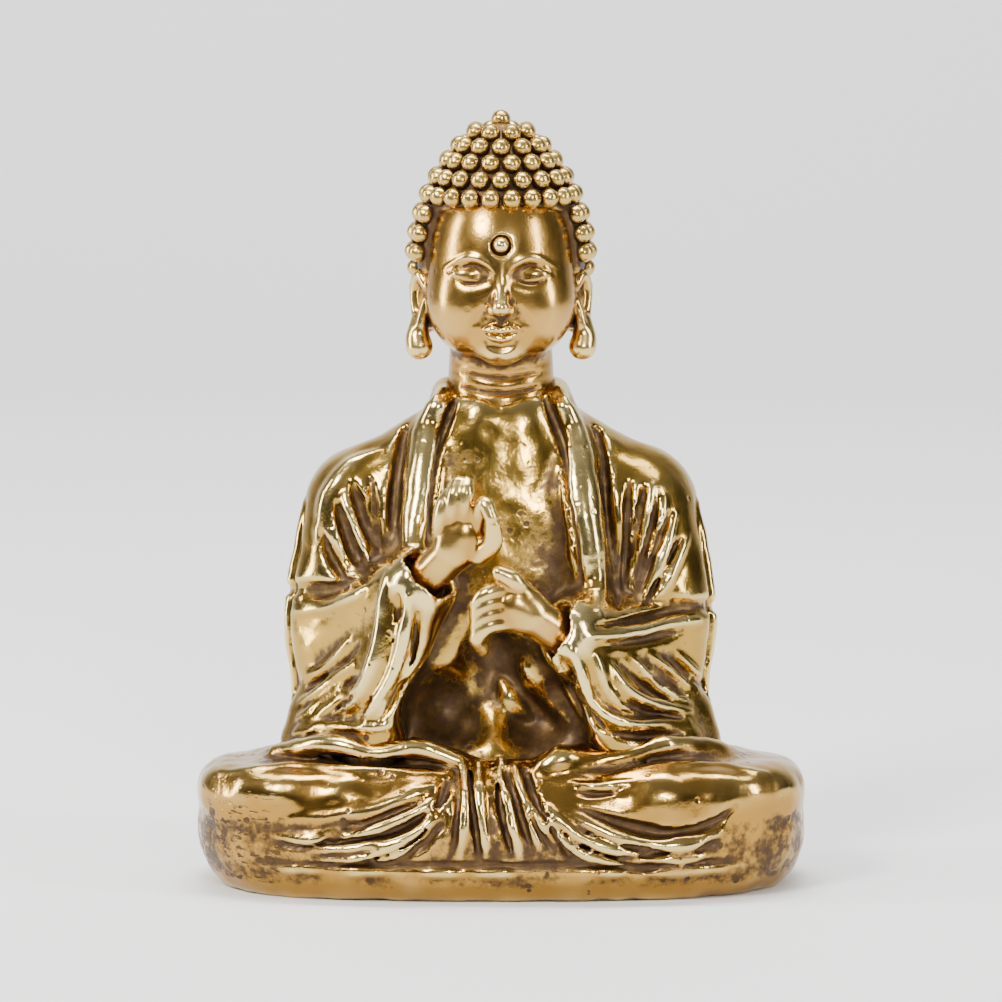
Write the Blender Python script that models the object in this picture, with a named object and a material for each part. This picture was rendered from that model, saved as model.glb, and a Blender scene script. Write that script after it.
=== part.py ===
"""A small seated Buddha in cast brass, built as a founder builds a sectional statue.

The folded legs, the robed body, the head, the curled hair and both hands are separate castings.
Dowels line them up, and a sheet plate closes the core hollow under the legs. Nothing on it moves.

Sizes are in millimetres and MM turns them into Blender's metres. +Z is up, the figure faces -Y,
and its right hand is at -X. The origin is the middle of its box, at the bottom.
"""

import math

import bmesh
import bpy
from mathutils import Vector

MM = 0.001

# Driving sizes of the figure
KNEE_SPAN = 31.6  # across the knees
LEG_DEPTH = 17.6  # from the shins in front to the hem behind
LEG_HEIGHT = 7.3  # top of the knees
LEG_EDGE = 2.8  # how far in the rounded top edge of the legs reaches
LEG_REAR_DROP = 1.3  # how much lower the legs are behind than in front
FOOT_INSET = 1.3  # the outline of the underside, inside the outline of the knees
RIM_WIDTH = 1.6  # the flat rim that the statue stands on
SHOULDER_SPAN = 20.4
ELBOW_SPAN = 22.2
SHOULDER_RISE = 11.6  # the lap to the middle of the shoulder
NECK_RISE = 18.2  # the lap to the pit of the neck
CHEST_DEPTH = 10.2
SHOULDER_RADIUS = 3.5
ELBOW_RADIUS = 3.0
HEAD_WIDTH = 7.8  # the face, without hair or ears
HEAD_HEIGHT = 10.2  # the chin to the top of the skull
CHIN_RISE = 1.5  # the pit of the neck to the chin
HAIR_THICKNESS = 0.6  # over the sides of the skull, without curls
CROWN_LIFT = 2.4  # the top of the skull to the top of the hair, without curls
CURL_SIZE = 0.95
CURL_PITCH = 1.12
CURL_ROW_PITCH = 0.98
HAND_LENGTH = 5.0

# Driving sizes of the joints between the castings
SEAT_DEPTH = 1.6  # how far the body sits into the legs
SOCKET_DEPTH = 1.2  # how far the neck and the wrists sit into the body
FIT_GAP = 0.15  # all round a piece that sits in another
ROOF_THICKNESS = 2.0  # between the core hollow and the seat
PLATE_THICKNESS = 0.8
PLATE_LEDGE = 0.8  # how far the plate overlaps the wall
PLATE_RECESS = 0.25  # keeps the plate off the table
DOWEL_DIAMETER = 1.6
WRIST_DOWEL_DIAMETER = 0.8
DOWEL_CLEARANCE = 0.08
DOWEL_LENGTH = 3.0
NECK_DOWEL_LENGTH = 5.0
WRIST_DOWEL_LENGTH = 2.6
SEAT_DOWEL_SPACING = 8.0
URNA_DIAMETER = 0.9
URNA_PEG_DIAMETER = 0.5
URNA_PEG_LENGTH = 1.0
URNA_GAP = 0.06

# Heights and depths that follow from them
LAP_Z = LEG_HEIGHT
SEAT_Z = LAP_Z - SEAT_DEPTH
CORE_Z = SEAT_Z - ROOF_THICKNESS
CORE_INSET = FOOT_INSET + RIM_WIDTH + PLATE_LEDGE
SHOULDER_Z = LAP_Z + SHOULDER_RISE
ELBOW_Z = LAP_Z + 5.0
NECK_Z = LAP_Z + NECK_RISE
CHIN_Z = NECK_Z + CHIN_RISE
EYE_Z = CHIN_Z + HEAD_HEIGHT * 0.47
BROW_Z = CHIN_Z + HEAD_HEIGHT * 0.53
NOSE_Z = CHIN_Z + HEAD_HEIGHT * 0.27
MOUTH_Z = CHIN_Z + HEAD_HEIGHT * 0.18
HAIRLINE_Z = CHIN_Z + HEAD_HEIGHT * 0.80
EAR_TOP_Z = CHIN_Z + HEAD_HEIGHT * 0.44
HAIR_WIDEST_Z = CHIN_Z + HEAD_HEIGHT * 0.50
TEMPLE_Y = -1.2  # in front of this the face is bare
EAR_BACK_Y = 1.3
CROWN_Z = CHIN_Z + HEAD_HEIGHT + CROWN_LIFT
HAIR_WIDTH = HEAD_WIDTH + 2 * HAIR_THICKNESS
BODY_Y = 1.3  # the spine sits a little behind the middle of the legs
HEAD_Y = 0.5
FACE_Y = HEAD_Y - HEAD_WIDTH * 0.56
CHEST_Y = BODY_Y - CHEST_DEPTH / 2

# Mesh fineness
BLEND_VOXEL = 0.34
FINE_VOXEL = 0.2
BLEND_STEPS = 5
RING_SIDES = 16
CUT_MARGIN = 5.0

BRASS = (0.72, 0.50, 0.20, 1.0)
OLD_BRASS = (0.40, 0.27, 0.11, 1.0)
STEEL = (0.55, 0.54, 0.52, 1.0)


# Basic solids. Each one returns a bmesh in millimetres, and later steps blend, cut and place them.


def ball(centre, radii, fineness=4):
    """An ellipsoid."""
    bm = bmesh.new()
    bmesh.ops.create_icosphere(bm, subdivisions=fineness, radius=1.0)
    bmesh.ops.scale(bm, vec=Vector(radii), verts=bm.verts)
    bmesh.ops.translate(bm, vec=Vector(centre), verts=bm.verts)
    return bm


def lofted(rings):
    """A closed skin over rings of equal count, with a fan over each end."""
    bm = bmesh.new()
    made = [[bm.verts.new(p) for p in ring] for ring in rings]
    for low, high in zip(made, made[1:]):
        for i in range(len(low)):
            j = (i + 1) % len(low)
            bm.faces.new((low[i], low[j], high[j], high[i]))
    for ring, flip in ((made[0], True), (made[-1], False)):
        middle = bm.verts.new(sum((v.co for v in ring), Vector()) / len(ring))
        for i in range(len(ring)):
            pair = (ring[i], ring[(i + 1) % len(ring)])
            bm.faces.new((*(reversed(pair) if flip else pair), middle))
    bmesh.ops.recalc_face_normals(bm, faces=bm.faces)
    return bm


def limb(points, radii):
    """A round rod with round ends along a smooth line. radii gives its radius at each point."""
    points = [Vector(p) for p in points]
    line, sizes = [], []
    steps = 6
    for i in range(len(points) - 1):
        before, after = points[max(i - 1, 0)], points[min(i + 2, len(points) - 1)]
        for s in range(steps):
            t = s / steps
            line.append(catmull(before, points[i], points[i + 1], after, t))
            sizes.append(radii[i] + (radii[i + 1] - radii[i]) * t)
    line.append(points[-1])
    sizes.append(radii[-1])
    rings = []
    cap_angles = [math.radians(a) for a in (80, 55, 28)]
    for i, (point, size) in enumerate(zip(line, sizes)):
        ahead, behind = line[min(i + 1, len(line) - 1)], line[max(i - 1, 0)]
        along = (ahead - behind).normalized()
        side = along.orthogonal() if i == 0 else (side - along * side.dot(along))
        side.normalize()
        across = along.cross(side)
        if i == 0:
            for a in cap_angles:
                end = point - along * size * math.sin(a)
                rings.append(ring_at(end, side, across, size * math.cos(a)))
        rings.append(ring_at(point, side, across, size))
        if i == len(line) - 1:
            for a in reversed(cap_angles):
                end = point + along * size * math.sin(a)
                rings.append(ring_at(end, side, across, size * math.cos(a)))
    return lofted(rings)


def catmull(a, b, c, d, t):
    """A point on the smooth line through b and c, a share t of the way between them."""
    square, cube = 2 * a - 5 * b + 4 * c - d, 3 * b - 3 * c + d - a
    return 0.5 * (2 * b + (c - a) * t + square * t**2 + cube * t**3)


def ring_at(centre, side, across, size):
    turns = [2 * math.pi * i / RING_SIDES for i in range(RING_SIDES)]
    return [centre + side * size * math.cos(a) + across * size * math.sin(a) for a in turns]


def rod(bottom, top, radius, sides=16):
    """A plain cylinder between two points."""
    bottom, top = Vector(bottom), Vector(top)
    along = (top - bottom).normalized()
    side = along.orthogonal().normalized()
    across = along.cross(side)
    turns = [2 * math.pi * i / sides for i in range(sides)]
    circle = [side * radius * math.cos(a) + across * radius * math.sin(a) for a in turns]
    return lofted([[bottom + p for p in circle], [top + p for p in circle]])


def block(low, high):
    bm = bmesh.new()
    low, high = Vector(low), Vector(high)
    bmesh.ops.create_cube(bm, size=1.0)
    bmesh.ops.scale(bm, vec=high - low, verts=bm.verts)
    bmesh.ops.translate(bm, vec=(low + high) / 2, verts=bm.verts)
    return bm


def plan_outline(inset=0.0, count=56):
    """The outline of the legs seen from above: flat-fronted, wide at the knees and round behind."""
    half_span, half_depth = KNEE_SPAN / 2 - inset, LEG_DEPTH / 2 - inset
    outline = []
    for i in range(count):
        a = 2 * math.pi * i / count
        c, s = math.cos(a), math.sin(a)
        power = 2.9 if s < 0 else 2.1  # the front is squarer than the back
        x = math.copysign(abs(c) ** (2 / power), c) * half_span
        y = math.copysign(abs(s) ** (2 / power), s) * half_depth
        outline.append(Vector((x, y, 0)))
    return outline


def plan_slab(inset, low, high):
    """A straight-sided slab with the outline of the legs."""
    outline = plan_outline(inset)
    return lofted([[p + Vector((0, 0, z)) for p in outline] for z in (low, high)])


def leg_slab():
    """The legs' main mass: upright sides, a small round at the foot and a wide round at the top."""
    profile = [
        (-0.11, FOOT_INSET + 0.9),
        (0.0, FOOT_INSET),
        (0.11, FOOT_INSET * 0.45),
        (0.27, FOOT_INSET * 0.1),
        (0.46, 0.0),
        (0.64, LEG_EDGE * 0.06),
        (0.78, LEG_EDGE * 0.2),
        (0.89, LEG_EDGE * 0.42),
        (0.96, LEG_EDGE * 0.68),
        (1.0, LEG_EDGE),
    ]
    rings = []
    for t, inset in profile:
        outline = plan_outline(inset)
        drops = [LEG_REAR_DROP * t * (p.y / LEG_DEPTH + 0.5) for p in outline]
        rings.append([Vector((p.x, p.y, LEG_HEIGHT * t - drop)) for p, drop in zip(outline, drops)])
    return lofted(rings)


# Turning solids into objects


def joined(solids):
    """One mesh of several solids, in metres."""
    whole = bpy.data.meshes.new("solids")
    total = bmesh.new()
    for solid in solids:
        solid.to_mesh(whole)
        total.from_mesh(whole)
        solid.free()
    bmesh.ops.scale(total, vec=(MM, MM, MM), verts=total.verts)
    total.to_mesh(whole)
    total.free()
    return whole


def new_object(name, mesh, colour=None, helper=False):
    obj = bpy.data.objects.new(name, mesh)
    bpy.context.scene.collection.objects.link(obj)
    if helper:
        obj.hide_render = True
        obj.display_type = "WIRE"
    if colour:
        material = bpy.data.materials.new(name)
        material.use_nodes = True
        principled = material.node_tree.nodes["Principled BSDF"]
        principled.inputs["Base Color"].default_value = colour
        principled.inputs["Metallic"].default_value = 1.0
        principled.inputs["Roughness"].default_value = 0.32
        mesh.materials.clear()
        mesh.materials.append(material)
    return obj


def settled(obj):
    """Replaces an object's mesh with what its modifiers make of it."""
    graph = bpy.context.evaluated_depsgraph_get()
    mesh = bpy.data.meshes.new_from_object(obj.evaluated_get(graph))
    obj.modifiers.clear()
    obj.data = mesh
    return obj


def casting(name, solids, triangles, colour=BRASS, voxel=BLEND_VOXEL, steps=BLEND_STEPS):
    """Blends overlapping solids into one smooth closed body with about that many triangles."""
    obj = new_object(name, joined(solids), colour)
    materials = list(obj.data.materials)
    remesh = obj.modifiers.new("one_skin", "REMESH")
    remesh.mode = "VOXEL"
    remesh.voxel_size = voxel * MM
    smooth = obj.modifiers.new("soft_creases", "SMOOTH")
    smooth.factor = 0.5
    smooth.iterations = steps
    settled(obj)
    decimate = obj.modifiers.new("fewer_faces", "DECIMATE")
    decimate.ratio = min(1.0, triangles / (2 * len(obj.data.polygons)))
    decimate.use_collapse_triangulate = True
    settled(obj)
    obj.data.materials.clear()
    for material in materials:
        obj.data.materials.append(material)
    return obj


def plain(name, solids, colour):
    return new_object(name, joined(solids), colour)


def boolean(obj, solids, operation="DIFFERENCE"):
    """Cuts solids from an object, or adds them to it."""
    for i, solid in enumerate(solids):
        helper = new_object(f"{obj.name}_{operation.lower()}_{i}", joined([solid]), helper=True)
        modifier = obj.modifiers.new(helper.name, "BOOLEAN")
        modifier.operation = operation
        modifier.object = helper
        modifier.solver = "EXACT"
    return settled(obj)


def grown(obj, gap):
    """A helper copy of an object, pushed outwards by the gap."""
    helper = new_object(obj.name + "_grown", obj.data.copy(), helper=True)
    mesh = helper.data
    normals = [v.normal.copy() for v in mesh.vertices]
    for vertex, normal in zip(mesh.vertices, normals):
        vertex.co += normal * gap * MM
    return helper


def make_room(obj, neighbour, gap=FIT_GAP):
    """Cuts the space that a neighbour takes, plus the fitting gap, out of an object."""
    modifier = obj.modifiers.new("room", "BOOLEAN")
    modifier.operation = "DIFFERENCE"
    modifier.object = grown(neighbour, gap)
    modifier.solver = "EXACT"
    modifier.use_self = True  # a grown copy may cross itself in a sharp crease
    return settled(obj)


def dowel(name, middle, direction, length, diameter, pieces):
    """A steel dowel, with a hole for it in each piece that it joins."""
    middle = Vector(middle)
    half = Vector(direction).normalized() * length / 2
    slack = Vector(direction).normalized() * FIT_GAP
    for piece in pieces:
        hole = rod(middle - half - slack, middle + half + slack, diameter / 2 + DOWEL_CLEARANCE)
        boolean(piece, [hole])
    return plain(name, [rod(middle - half, middle + half, diameter / 2)], STEEL)


# The figure's pieces


def make_legs():
    """The folded legs in their robe: knees, crossed shins, the rolls of cloth on the lap and a foot."""
    knee_x = KNEE_SPAN / 2 - 4.4
    front_y = -LEG_DEPTH / 2
    solids = [leg_slab()]
    for side in (-1, 1):
        hip = (side * 5.0, 3.0, LAP_Z - 2.8)
        knee = (side * knee_x, -1.2, LEG_HEIGHT / 2 + 0.1)
        shin = (side * 4.0, front_y + 3.8, LEG_HEIGHT / 2)
        solids.append(limb([hip, knee], [3.0, 3.5]))
        solids.append(limb([knee, shin], [3.5, 3.3]))
    roll = [
        (-11.2, -1.6, LAP_Z - 0.6),
        (-8.2, -3.4, LAP_Z + 0.1),
        (-5.0, -4.6, LAP_Z),
        (-1.9, -5.6, LAP_Z - 0.5),
    ]
    solids.append(limb(roll, [0.8, 1.0, 0.9, 0.7]))
    foot = [
        (2.7, front_y + 2.7, LAP_Z - 0.35),
        (4.8, front_y + 3.2, LAP_Z - 0.2),
        (8.0, front_y + 4.2, LAP_Z),
        (11.2, front_y + 5.6, LAP_Z - 0.5),
    ]
    solids.append(limb(foot, [0.95, 0.9, 1.0, 0.8]))
    legs = casting("leg_casting", solids, 1700)
    below = block((-KNEE_SPAN, -KNEE_SPAN, -CUT_MARGIN), (KNEE_SPAN, KNEE_SPAN, 0.0))
    core = plan_slab(CORE_INSET, -CUT_MARGIN, CORE_Z)
    rebate = plan_slab(CORE_INSET - PLATE_LEDGE, -CUT_MARGIN, PLATE_RECESS + PLATE_THICKNESS)
    return boolean(legs, [below, core, rebate])


def make_base_plate():
    """The sheet that closes the core hollow, pressed into the rebate."""
    inset = CORE_INSET - PLATE_LEDGE + FIT_GAP
    slab = plan_slab(inset, PLATE_RECESS, PLATE_RECESS + PLATE_THICKNESS - FIT_GAP)
    return plain("base_plate", [slab], OLD_BRASS)


def from_chest(x, forward, rise):
    """A point placed from the middle of the chest's front: across, forward, and up from the lap."""
    return Vector((x, CHEST_Y - forward, LAP_Z + rise))


RIGHT_WRIST, RIGHT_PALM = from_chest(-4.0, 2.0, 8.9), from_chest(-1.9, 3.0, 11.6)
LEFT_WRIST, LEFT_PALM = from_chest(3.2, 2.4, 6.2), from_chest(1.0, 3.3, 7.8)


def torso():
    """The trunk in its robe, from the lap to the pit of the neck: each ring is a rounded rectangle."""
    half = CHEST_DEPTH / 2
    rings = []
    for rise, half_width, half_depth in (
        (-2.8, 9.4, half + 0.5),
        (1.0, 9.1, half + 0.4),
        (5.0, 8.2, half + 0.1),
        (9.0, 7.6, half),
        (12.5, 6.8, half * 0.92),
        (15.2, 4.9, half * 0.76),
        (17.0, 3.7, half * 0.68),
        (NECK_RISE, 3.1, half * 0.58),
    ):
        ring = []
        for i in range(32):
            c, s = math.cos(2 * math.pi * i / 32), math.sin(2 * math.pi * i / 32)
            x = math.copysign(abs(c) ** 0.85, c) * half_width
            y = math.copysign(abs(s) ** 0.85, s) * half_depth
            ring.append(Vector((x, BODY_Y - 0.5 * max(0.0, rise - 12.5) / 5 + y, LAP_Z + rise)))
        rings.append(ring)
    return lofted(rings)


def sleeve(side, wrist):
    """The upper arm, the forearm and the cloth that hangs from the forearm to the lap."""
    shoulder = Vector((side * (SHOULDER_SPAN / 2 - SHOULDER_RADIUS), BODY_Y, SHOULDER_Z))
    elbow = Vector((side * (ELBOW_SPAN / 2 - ELBOW_RADIUS), BODY_Y - 0.5, ELBOW_Z))
    solids = [
        limb([shoulder, elbow], [SHOULDER_RADIUS, ELBOW_RADIUS]),
        limb([elbow, (elbow + wrist) / 2, wrist], [ELBOW_RADIUS, 2.5, 2.0]),
    ]
    folds = 5
    for i in range(folds + 1):
        t = i / folds
        top = elbow.lerp(wrist, t)
        foot = Vector((side * (8.7 - 2.1 * t), 1.2 - 5.9 * t, LAP_Z - 0.6))
        bow = Vector((side * 0.2, -0.2, 0))
        sizes = [2.6 - 0.9 * t, 2.5 - 1.0 * t, 2.4 - 0.9 * t]
        solids.append(limb([top, top.lerp(foot, 0.5) + bow, foot], sizes))
    return solids


def make_body():
    """Chest, back, shoulders and sleeves, with the robe's two long borders."""
    shoulder_x = SHOULDER_SPAN / 2 - SHOULDER_RADIUS
    solids = [torso()]
    for side in (-1, 1):
        slope = [(side * 2.0, BODY_Y - 0.2, NECK_Z - 2.8), (side * shoulder_x, BODY_Y, SHOULDER_Z)]
        solids.append(limb(slope, [2.5, SHOULDER_RADIUS]))
        border = [
            (side * 2.6, BODY_Y + 0.9, NECK_Z - 0.1),
            (side * 3.4, BODY_Y - 2.0, NECK_Z - 1.4),
            (side * 4.1, CHEST_Y + 0.55, SHOULDER_Z + 0.6),
            (side * 4.6, CHEST_Y + 0.2, LAP_Z + 8.4),
        ]
        solids.append(limb(border, [0.6, 0.8, 0.85, 0.85]))
    solids += sleeve(-1, RIGHT_WRIST) + sleeve(1, LEFT_WRIST)
    body = casting("body_casting", solids, 3000)
    reach = KNEE_SPAN
    below = block((-reach, -reach, -CUT_MARGIN), (reach, reach, SEAT_Z + FIT_GAP))
    cuts = [below]
    for wrist, palm in ((RIGHT_WRIST, RIGHT_PALM), (LEFT_WRIST, LEFT_PALM)):
        along = (palm - wrist).normalized()
        cuts.append(limb([wrist, wrist + along * 3.0], [1.4, 1.6]))
    return boolean(body, cuts)


def make_hand(name, wrist, palm, fingers, thumb):
    """A hand on its wrist. Each finger goes through a root, a knuckle and a tip."""
    along = (palm - wrist).normalized()
    start = wrist - along * SOCKET_DEPTH
    solids = [limb([start - along, wrist, palm], [1.05, 1.05, 1.3]), ball(palm, (1.45, 1.15, 1.5))]
    solids += [limb(finger, [0.5, 0.48, 0.4]) for finger in fingers]
    solids.append(limb(thumb, [0.6, 0.55, 0.45]))
    hand = casting(name, solids, 700, voxel=FINE_VOXEL, steps=1)
    return boolean(hand, [rod(start, start - along * 4, 2.0)])


def make_right_hand():
    """Raised before the chest with the fingers upright and together."""
    fingers = []
    for i, lift in enumerate((-0.35, 0.0, 0.1, -0.15)):
        x = -2.75 + 0.62 * i
        root = from_chest(x, 3.1, 12.2)
        knuckle = root + Vector((0.1, -0.35, 1.2))
        fingers.append([root, knuckle, knuckle + Vector((0.12, 0.1, (HAND_LENGTH / 5) + lift))])
    thumb = [from_chest(-0.8, 3.4, 11.2), from_chest(-0.3, 4.0, 12.2), from_chest(-0.6, 4.3, 13.2)]
    return make_hand("right_hand", RIGHT_WRIST, RIGHT_PALM, fingers, thumb)


def make_left_hand():
    """Below the right hand, with the fingers folded down and the thumb up."""
    fingers = []
    for i in range(4):
        root = from_chest(0.4, 3.5, 8.6 - 0.62 * i)
        knuckle = root + Vector((-1.25, -0.55, -0.2))
        fingers.append([root, knuckle, knuckle + Vector((-0.25, 0.45, -HAND_LENGTH / 4.5))])
    thumb = [from_chest(1.0, 3.6, 8.5), from_chest(0.5, 3.9, 9.4), from_chest(0.0, 4.0, 9.9)]
    return make_hand("left_hand", LEFT_WRIST, LEFT_PALM, fingers, thumb)


def make_head():
    """Face, ears and neck. The skull goes up inside the hair."""
    half = HEAD_WIDTH / 2
    skull_z = CHIN_Z + HEAD_HEIGHT * 0.56
    solids = [
        ball((0, HEAD_Y, skull_z), (half, HEAD_Y - FACE_Y, HEAD_HEIGHT * 0.44)),
        ball((0, FACE_Y + 3.1, CHIN_Z + HEAD_HEIGHT * 0.34), (half * 0.95, 3.05, HEAD_HEIGHT * 0.34)),
        limb([(0, BODY_Y - 0.6, NECK_Z - SOCKET_DEPTH - 1), (0, HEAD_Y, CHIN_Z + 1.5)], [2.5, 2.4]),
        limb([(0, FACE_Y + 0.25, BROW_Z), (0, FACE_Y - 0.35, NOSE_Z + 0.35)], [0.3, 0.5]),
        ball((0, FACE_Y + 0.05, NOSE_Z + 0.2), (0.75, 0.45, 0.36)),
        ball((0, FACE_Y + 0.35, MOUTH_Z), (0.95, 0.4, 0.34)),
        ball((0, FACE_Y + 0.9, CHIN_Z + 0.85), (1.0, 0.8, 0.8)),
    ]
    for side in (-1, 1):
        eye_x = side * HEAD_WIDTH * 0.22
        solids.append(ball((eye_x, FACE_Y + 0.6, EYE_Z), (0.9, 0.5, 0.42)))
        arch = [
            (side * 0.35, FACE_Y + 0.4, BROW_Z),
            (eye_x, FACE_Y + 0.45, BROW_Z + 0.3),
            (side * 2.9, FACE_Y + 1.35, BROW_Z - 0.15),
        ]
        solids.append(limb(arch, [0.22, 0.24, 0.2]))
        ear = [
            (side * (half + 0.05), HEAD_Y - 0.2, EAR_TOP_Z - 0.3),
            (side * (half + 0.3), HEAD_Y - 0.5, NOSE_Z - 0.3),
            (side * (half + 0.2), HEAD_Y - 0.7, CHIN_Z + 0.9),
        ]
        solids.append(limb(ear, [0.8, 0.6, 0.85]))
        behind_ear = [(side * (half - 0.6), HEAD_Y, EAR_TOP_Z), (side * (half - 0.4), HEAD_Y, CHIN_Z + 2)]
        solids.append(limb(behind_ear, [0.8, 0.8]))
    head = casting("head_casting", solids, 2300, voxel=FINE_VOXEL, steps=2)
    socket = NECK_Z - SOCKET_DEPTH
    return boolean(head, [block((-4, -4, socket - CUT_MARGIN), (4, 6, socket))])


def hair_half_width(z):
    """Half of the hair's width at a height: round over the skull, drawn up into a low crown."""
    rise = min(1.0, max(0.0, (z - HAIR_WIDEST_Z) / (CROWN_Z - HAIR_WIDEST_Z)))
    fall = max(0.0, (HAIR_WIDEST_Z - z) / HEAD_HEIGHT)
    return HAIR_WIDTH / 2 * ((1 - rise**2) ** 0.75 - 0.6 * fall**1.5)


def hair_point(angle, z):
    half = hair_half_width(z)
    return Vector((half * math.cos(angle), HEAD_Y + 0.2 + half * 1.04 * math.sin(angle), z))


def hairline(x):
    """The height of the hair's edge over the forehead, which falls away towards the temples."""
    return HAIRLINE_Z - 1.3 * abs(x / (HAIR_WIDTH / 2)) ** 3


def face_window():
    """The space in front of the hair's edge, from the forehead down and as far back as the temples."""
    half, columns = HAIR_WIDTH / 2 + 1.0, 16
    xs = [half * (2 * i / columns - 1) for i in range(columns + 1)]
    rings = []
    for y in (HEAD_Y - HAIR_WIDTH, TEMPLE_Y):
        top = [Vector((x, y, hairline(x))) for x in xs]
        bottom = [Vector((x, y, CHIN_Z - 2)) for x in reversed(xs)]
        rings.append(top + bottom)
    return lofted(rings)


def bare(place):
    """Whether a curl there would stand on the face or on an ear."""
    margin = CURL_SIZE * 0.38
    on_face = place.y < TEMPLE_Y + margin and place.z < hairline(place.x) + margin
    on_ear = place.y < EAR_BACK_Y + margin and place.z < EAR_TOP_Z + margin
    return on_face or on_ear


def curl_places():
    """Where the curls sit: in rows round the hair, from the nape up to the crown."""
    rows = [HAIRLINE_Z + CURL_SIZE * 0.42]
    while rows[0] > CHIN_Z + HEAD_HEIGHT * 0.24:
        rows.insert(0, rows[0] - CURL_ROW_PITCH)
    while rows[-1] < CROWN_Z - CURL_SIZE * 0.5:
        slope = hair_half_width(rows[-1]) - hair_half_width(rows[-1] + CURL_ROW_PITCH / 2)
        rows.append(rows[-1] + CURL_ROW_PITCH / math.hypot(1.0, 2 * slope / CURL_ROW_PITCH))
    places = [hair_point(0, CROWN_Z)]
    for row, z in enumerate(rows[:-1]):
        half_turn = math.pi
        while half_turn > 1.0 and bare(hair_point(math.pi / 2 + half_turn, z)):
            half_turn -= 0.02
        span = 2 * half_turn * hair_half_width(z)
        whole = half_turn >= math.pi
        count = max(3, round(span / CURL_PITCH))
        for i in range(count if whole else count + 1):
            offset = 0.5 * (row % 2) if whole else 0.0
            turn = math.pi / 2 - half_turn + 2 * half_turn * (i + offset) / count
            places.append(hair_point(turn, z))
    return places


def curl(place):
    """A round curl, coarse on purpose: there are hundreds."""
    bm = bmesh.new()
    bmesh.ops.create_icosphere(bm, subdivisions=1, radius=CURL_SIZE / 2 * 1.08)
    outwards = (place - Vector((0, HEAD_Y, HAIR_WIDEST_Z - 1))).normalized()
    turn = outwards.to_track_quat("Z", "Y").to_matrix()
    bmesh.ops.rotate(bm, cent=(0, 0, 0), matrix=turn, verts=bm.verts)
    bmesh.ops.translate(bm, vec=place, verts=bm.verts)
    return bm


def make_hair(head):
    """The curled hair, cast as a cap that goes over the skull."""
    levels = 14
    low = CHIN_Z + HEAD_HEIGHT * 0.18
    heights = [low + (CROWN_Z - 0.05 - low) * (i / levels) for i in range(levels + 1)]
    turns = [2 * math.pi * i / 28 for i in range(28)]
    hair = plain("hair_cap", [lofted([[hair_point(a, z) for a in turns] for z in heights])], OLD_BRASS)
    round_ears = block((-8, TEMPLE_Y - 8, CHIN_Z - 5), (8, EAR_BACK_Y, EAR_TOP_Z))
    boolean(hair, [face_window(), round_ears])
    boolean(hair, [curl(p) for p in curl_places()], "UNION")
    return make_room(hair, head)


def make_urna(head):
    """The bead between the brows, on a peg in the forehead."""
    z = BROW_Z + 0.9
    middle = Vector((0, FACE_Y + 0.15, z))
    peg_end = middle + Vector((0, URNA_PEG_LENGTH, 0))
    for slack, operation in ((URNA_GAP, "DIFFERENCE"), (0.0, "UNION")):
        bead = ball(middle, [URNA_DIAMETER / 2 + slack] * 3, fineness=2)
        peg = rod(middle, peg_end + Vector((0, slack, 0)), URNA_PEG_DIAMETER / 2 + slack)
        if operation == "DIFFERENCE":
            boolean(head, [bead, peg])
        else:
            urna = boolean(plain("urna_bead", [bead], BRASS), [peg], "UNION")
    return urna


def main():
    for obj in list(bpy.data.objects):
        bpy.data.objects.remove(obj)
    legs = make_legs()
    make_base_plate()
    body = make_body()
    head = make_head()
    right_hand = make_right_hand()
    left_hand = make_left_hand()
    make_room(legs, body)
    for piece in (head, right_hand, left_hand):
        make_room(body, piece)
    make_hair(head)
    make_urna(head)
    upright = (0, 0, 1)
    neck_joint = (0, BODY_Y - 0.6, NECK_Z - SOCKET_DEPTH)
    dowel("neck_dowel", neck_joint, upright, NECK_DOWEL_LENGTH, DOWEL_DIAMETER, [body, head])
    for name, side in (("right_seat_dowel", -1), ("left_seat_dowel", 1)):
        seat_joint = (side * SEAT_DOWEL_SPACING / 2, BODY_Y, SEAT_Z)
        dowel(name, seat_joint, upright, DOWEL_LENGTH, DOWEL_DIAMETER, [legs, body])
    for name, wrist, palm, hand in (
        ("right_wrist_dowel", RIGHT_WRIST, RIGHT_PALM, right_hand),
        ("left_wrist_dowel", LEFT_WRIST, LEFT_PALM, left_hand),
    ):
        along = (palm - wrist).normalized()
        joint = wrist - along * SOCKET_DEPTH
        dowel(name, joint, along, WRIST_DOWEL_LENGTH, WRIST_DOWEL_DIAMETER, [body, hand])


main()
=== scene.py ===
# %% [markdown]
# # A seated Buddha in antique brass
#
# The real statue is about as tall as a thumb. A founder models it in wax, casts it in brass, blackens it and then
# polishes it, so that the high places shine and the folds stay dark. This file goes the same way: wax, casting, patina.
# The wax is a grid of numbers. Each number says how far its place is from the surface, and is negative inside. A grid
# like that can be added to, pressed into and smoothed, as real wax can, and it becomes a mesh only at the end.

import math

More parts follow.
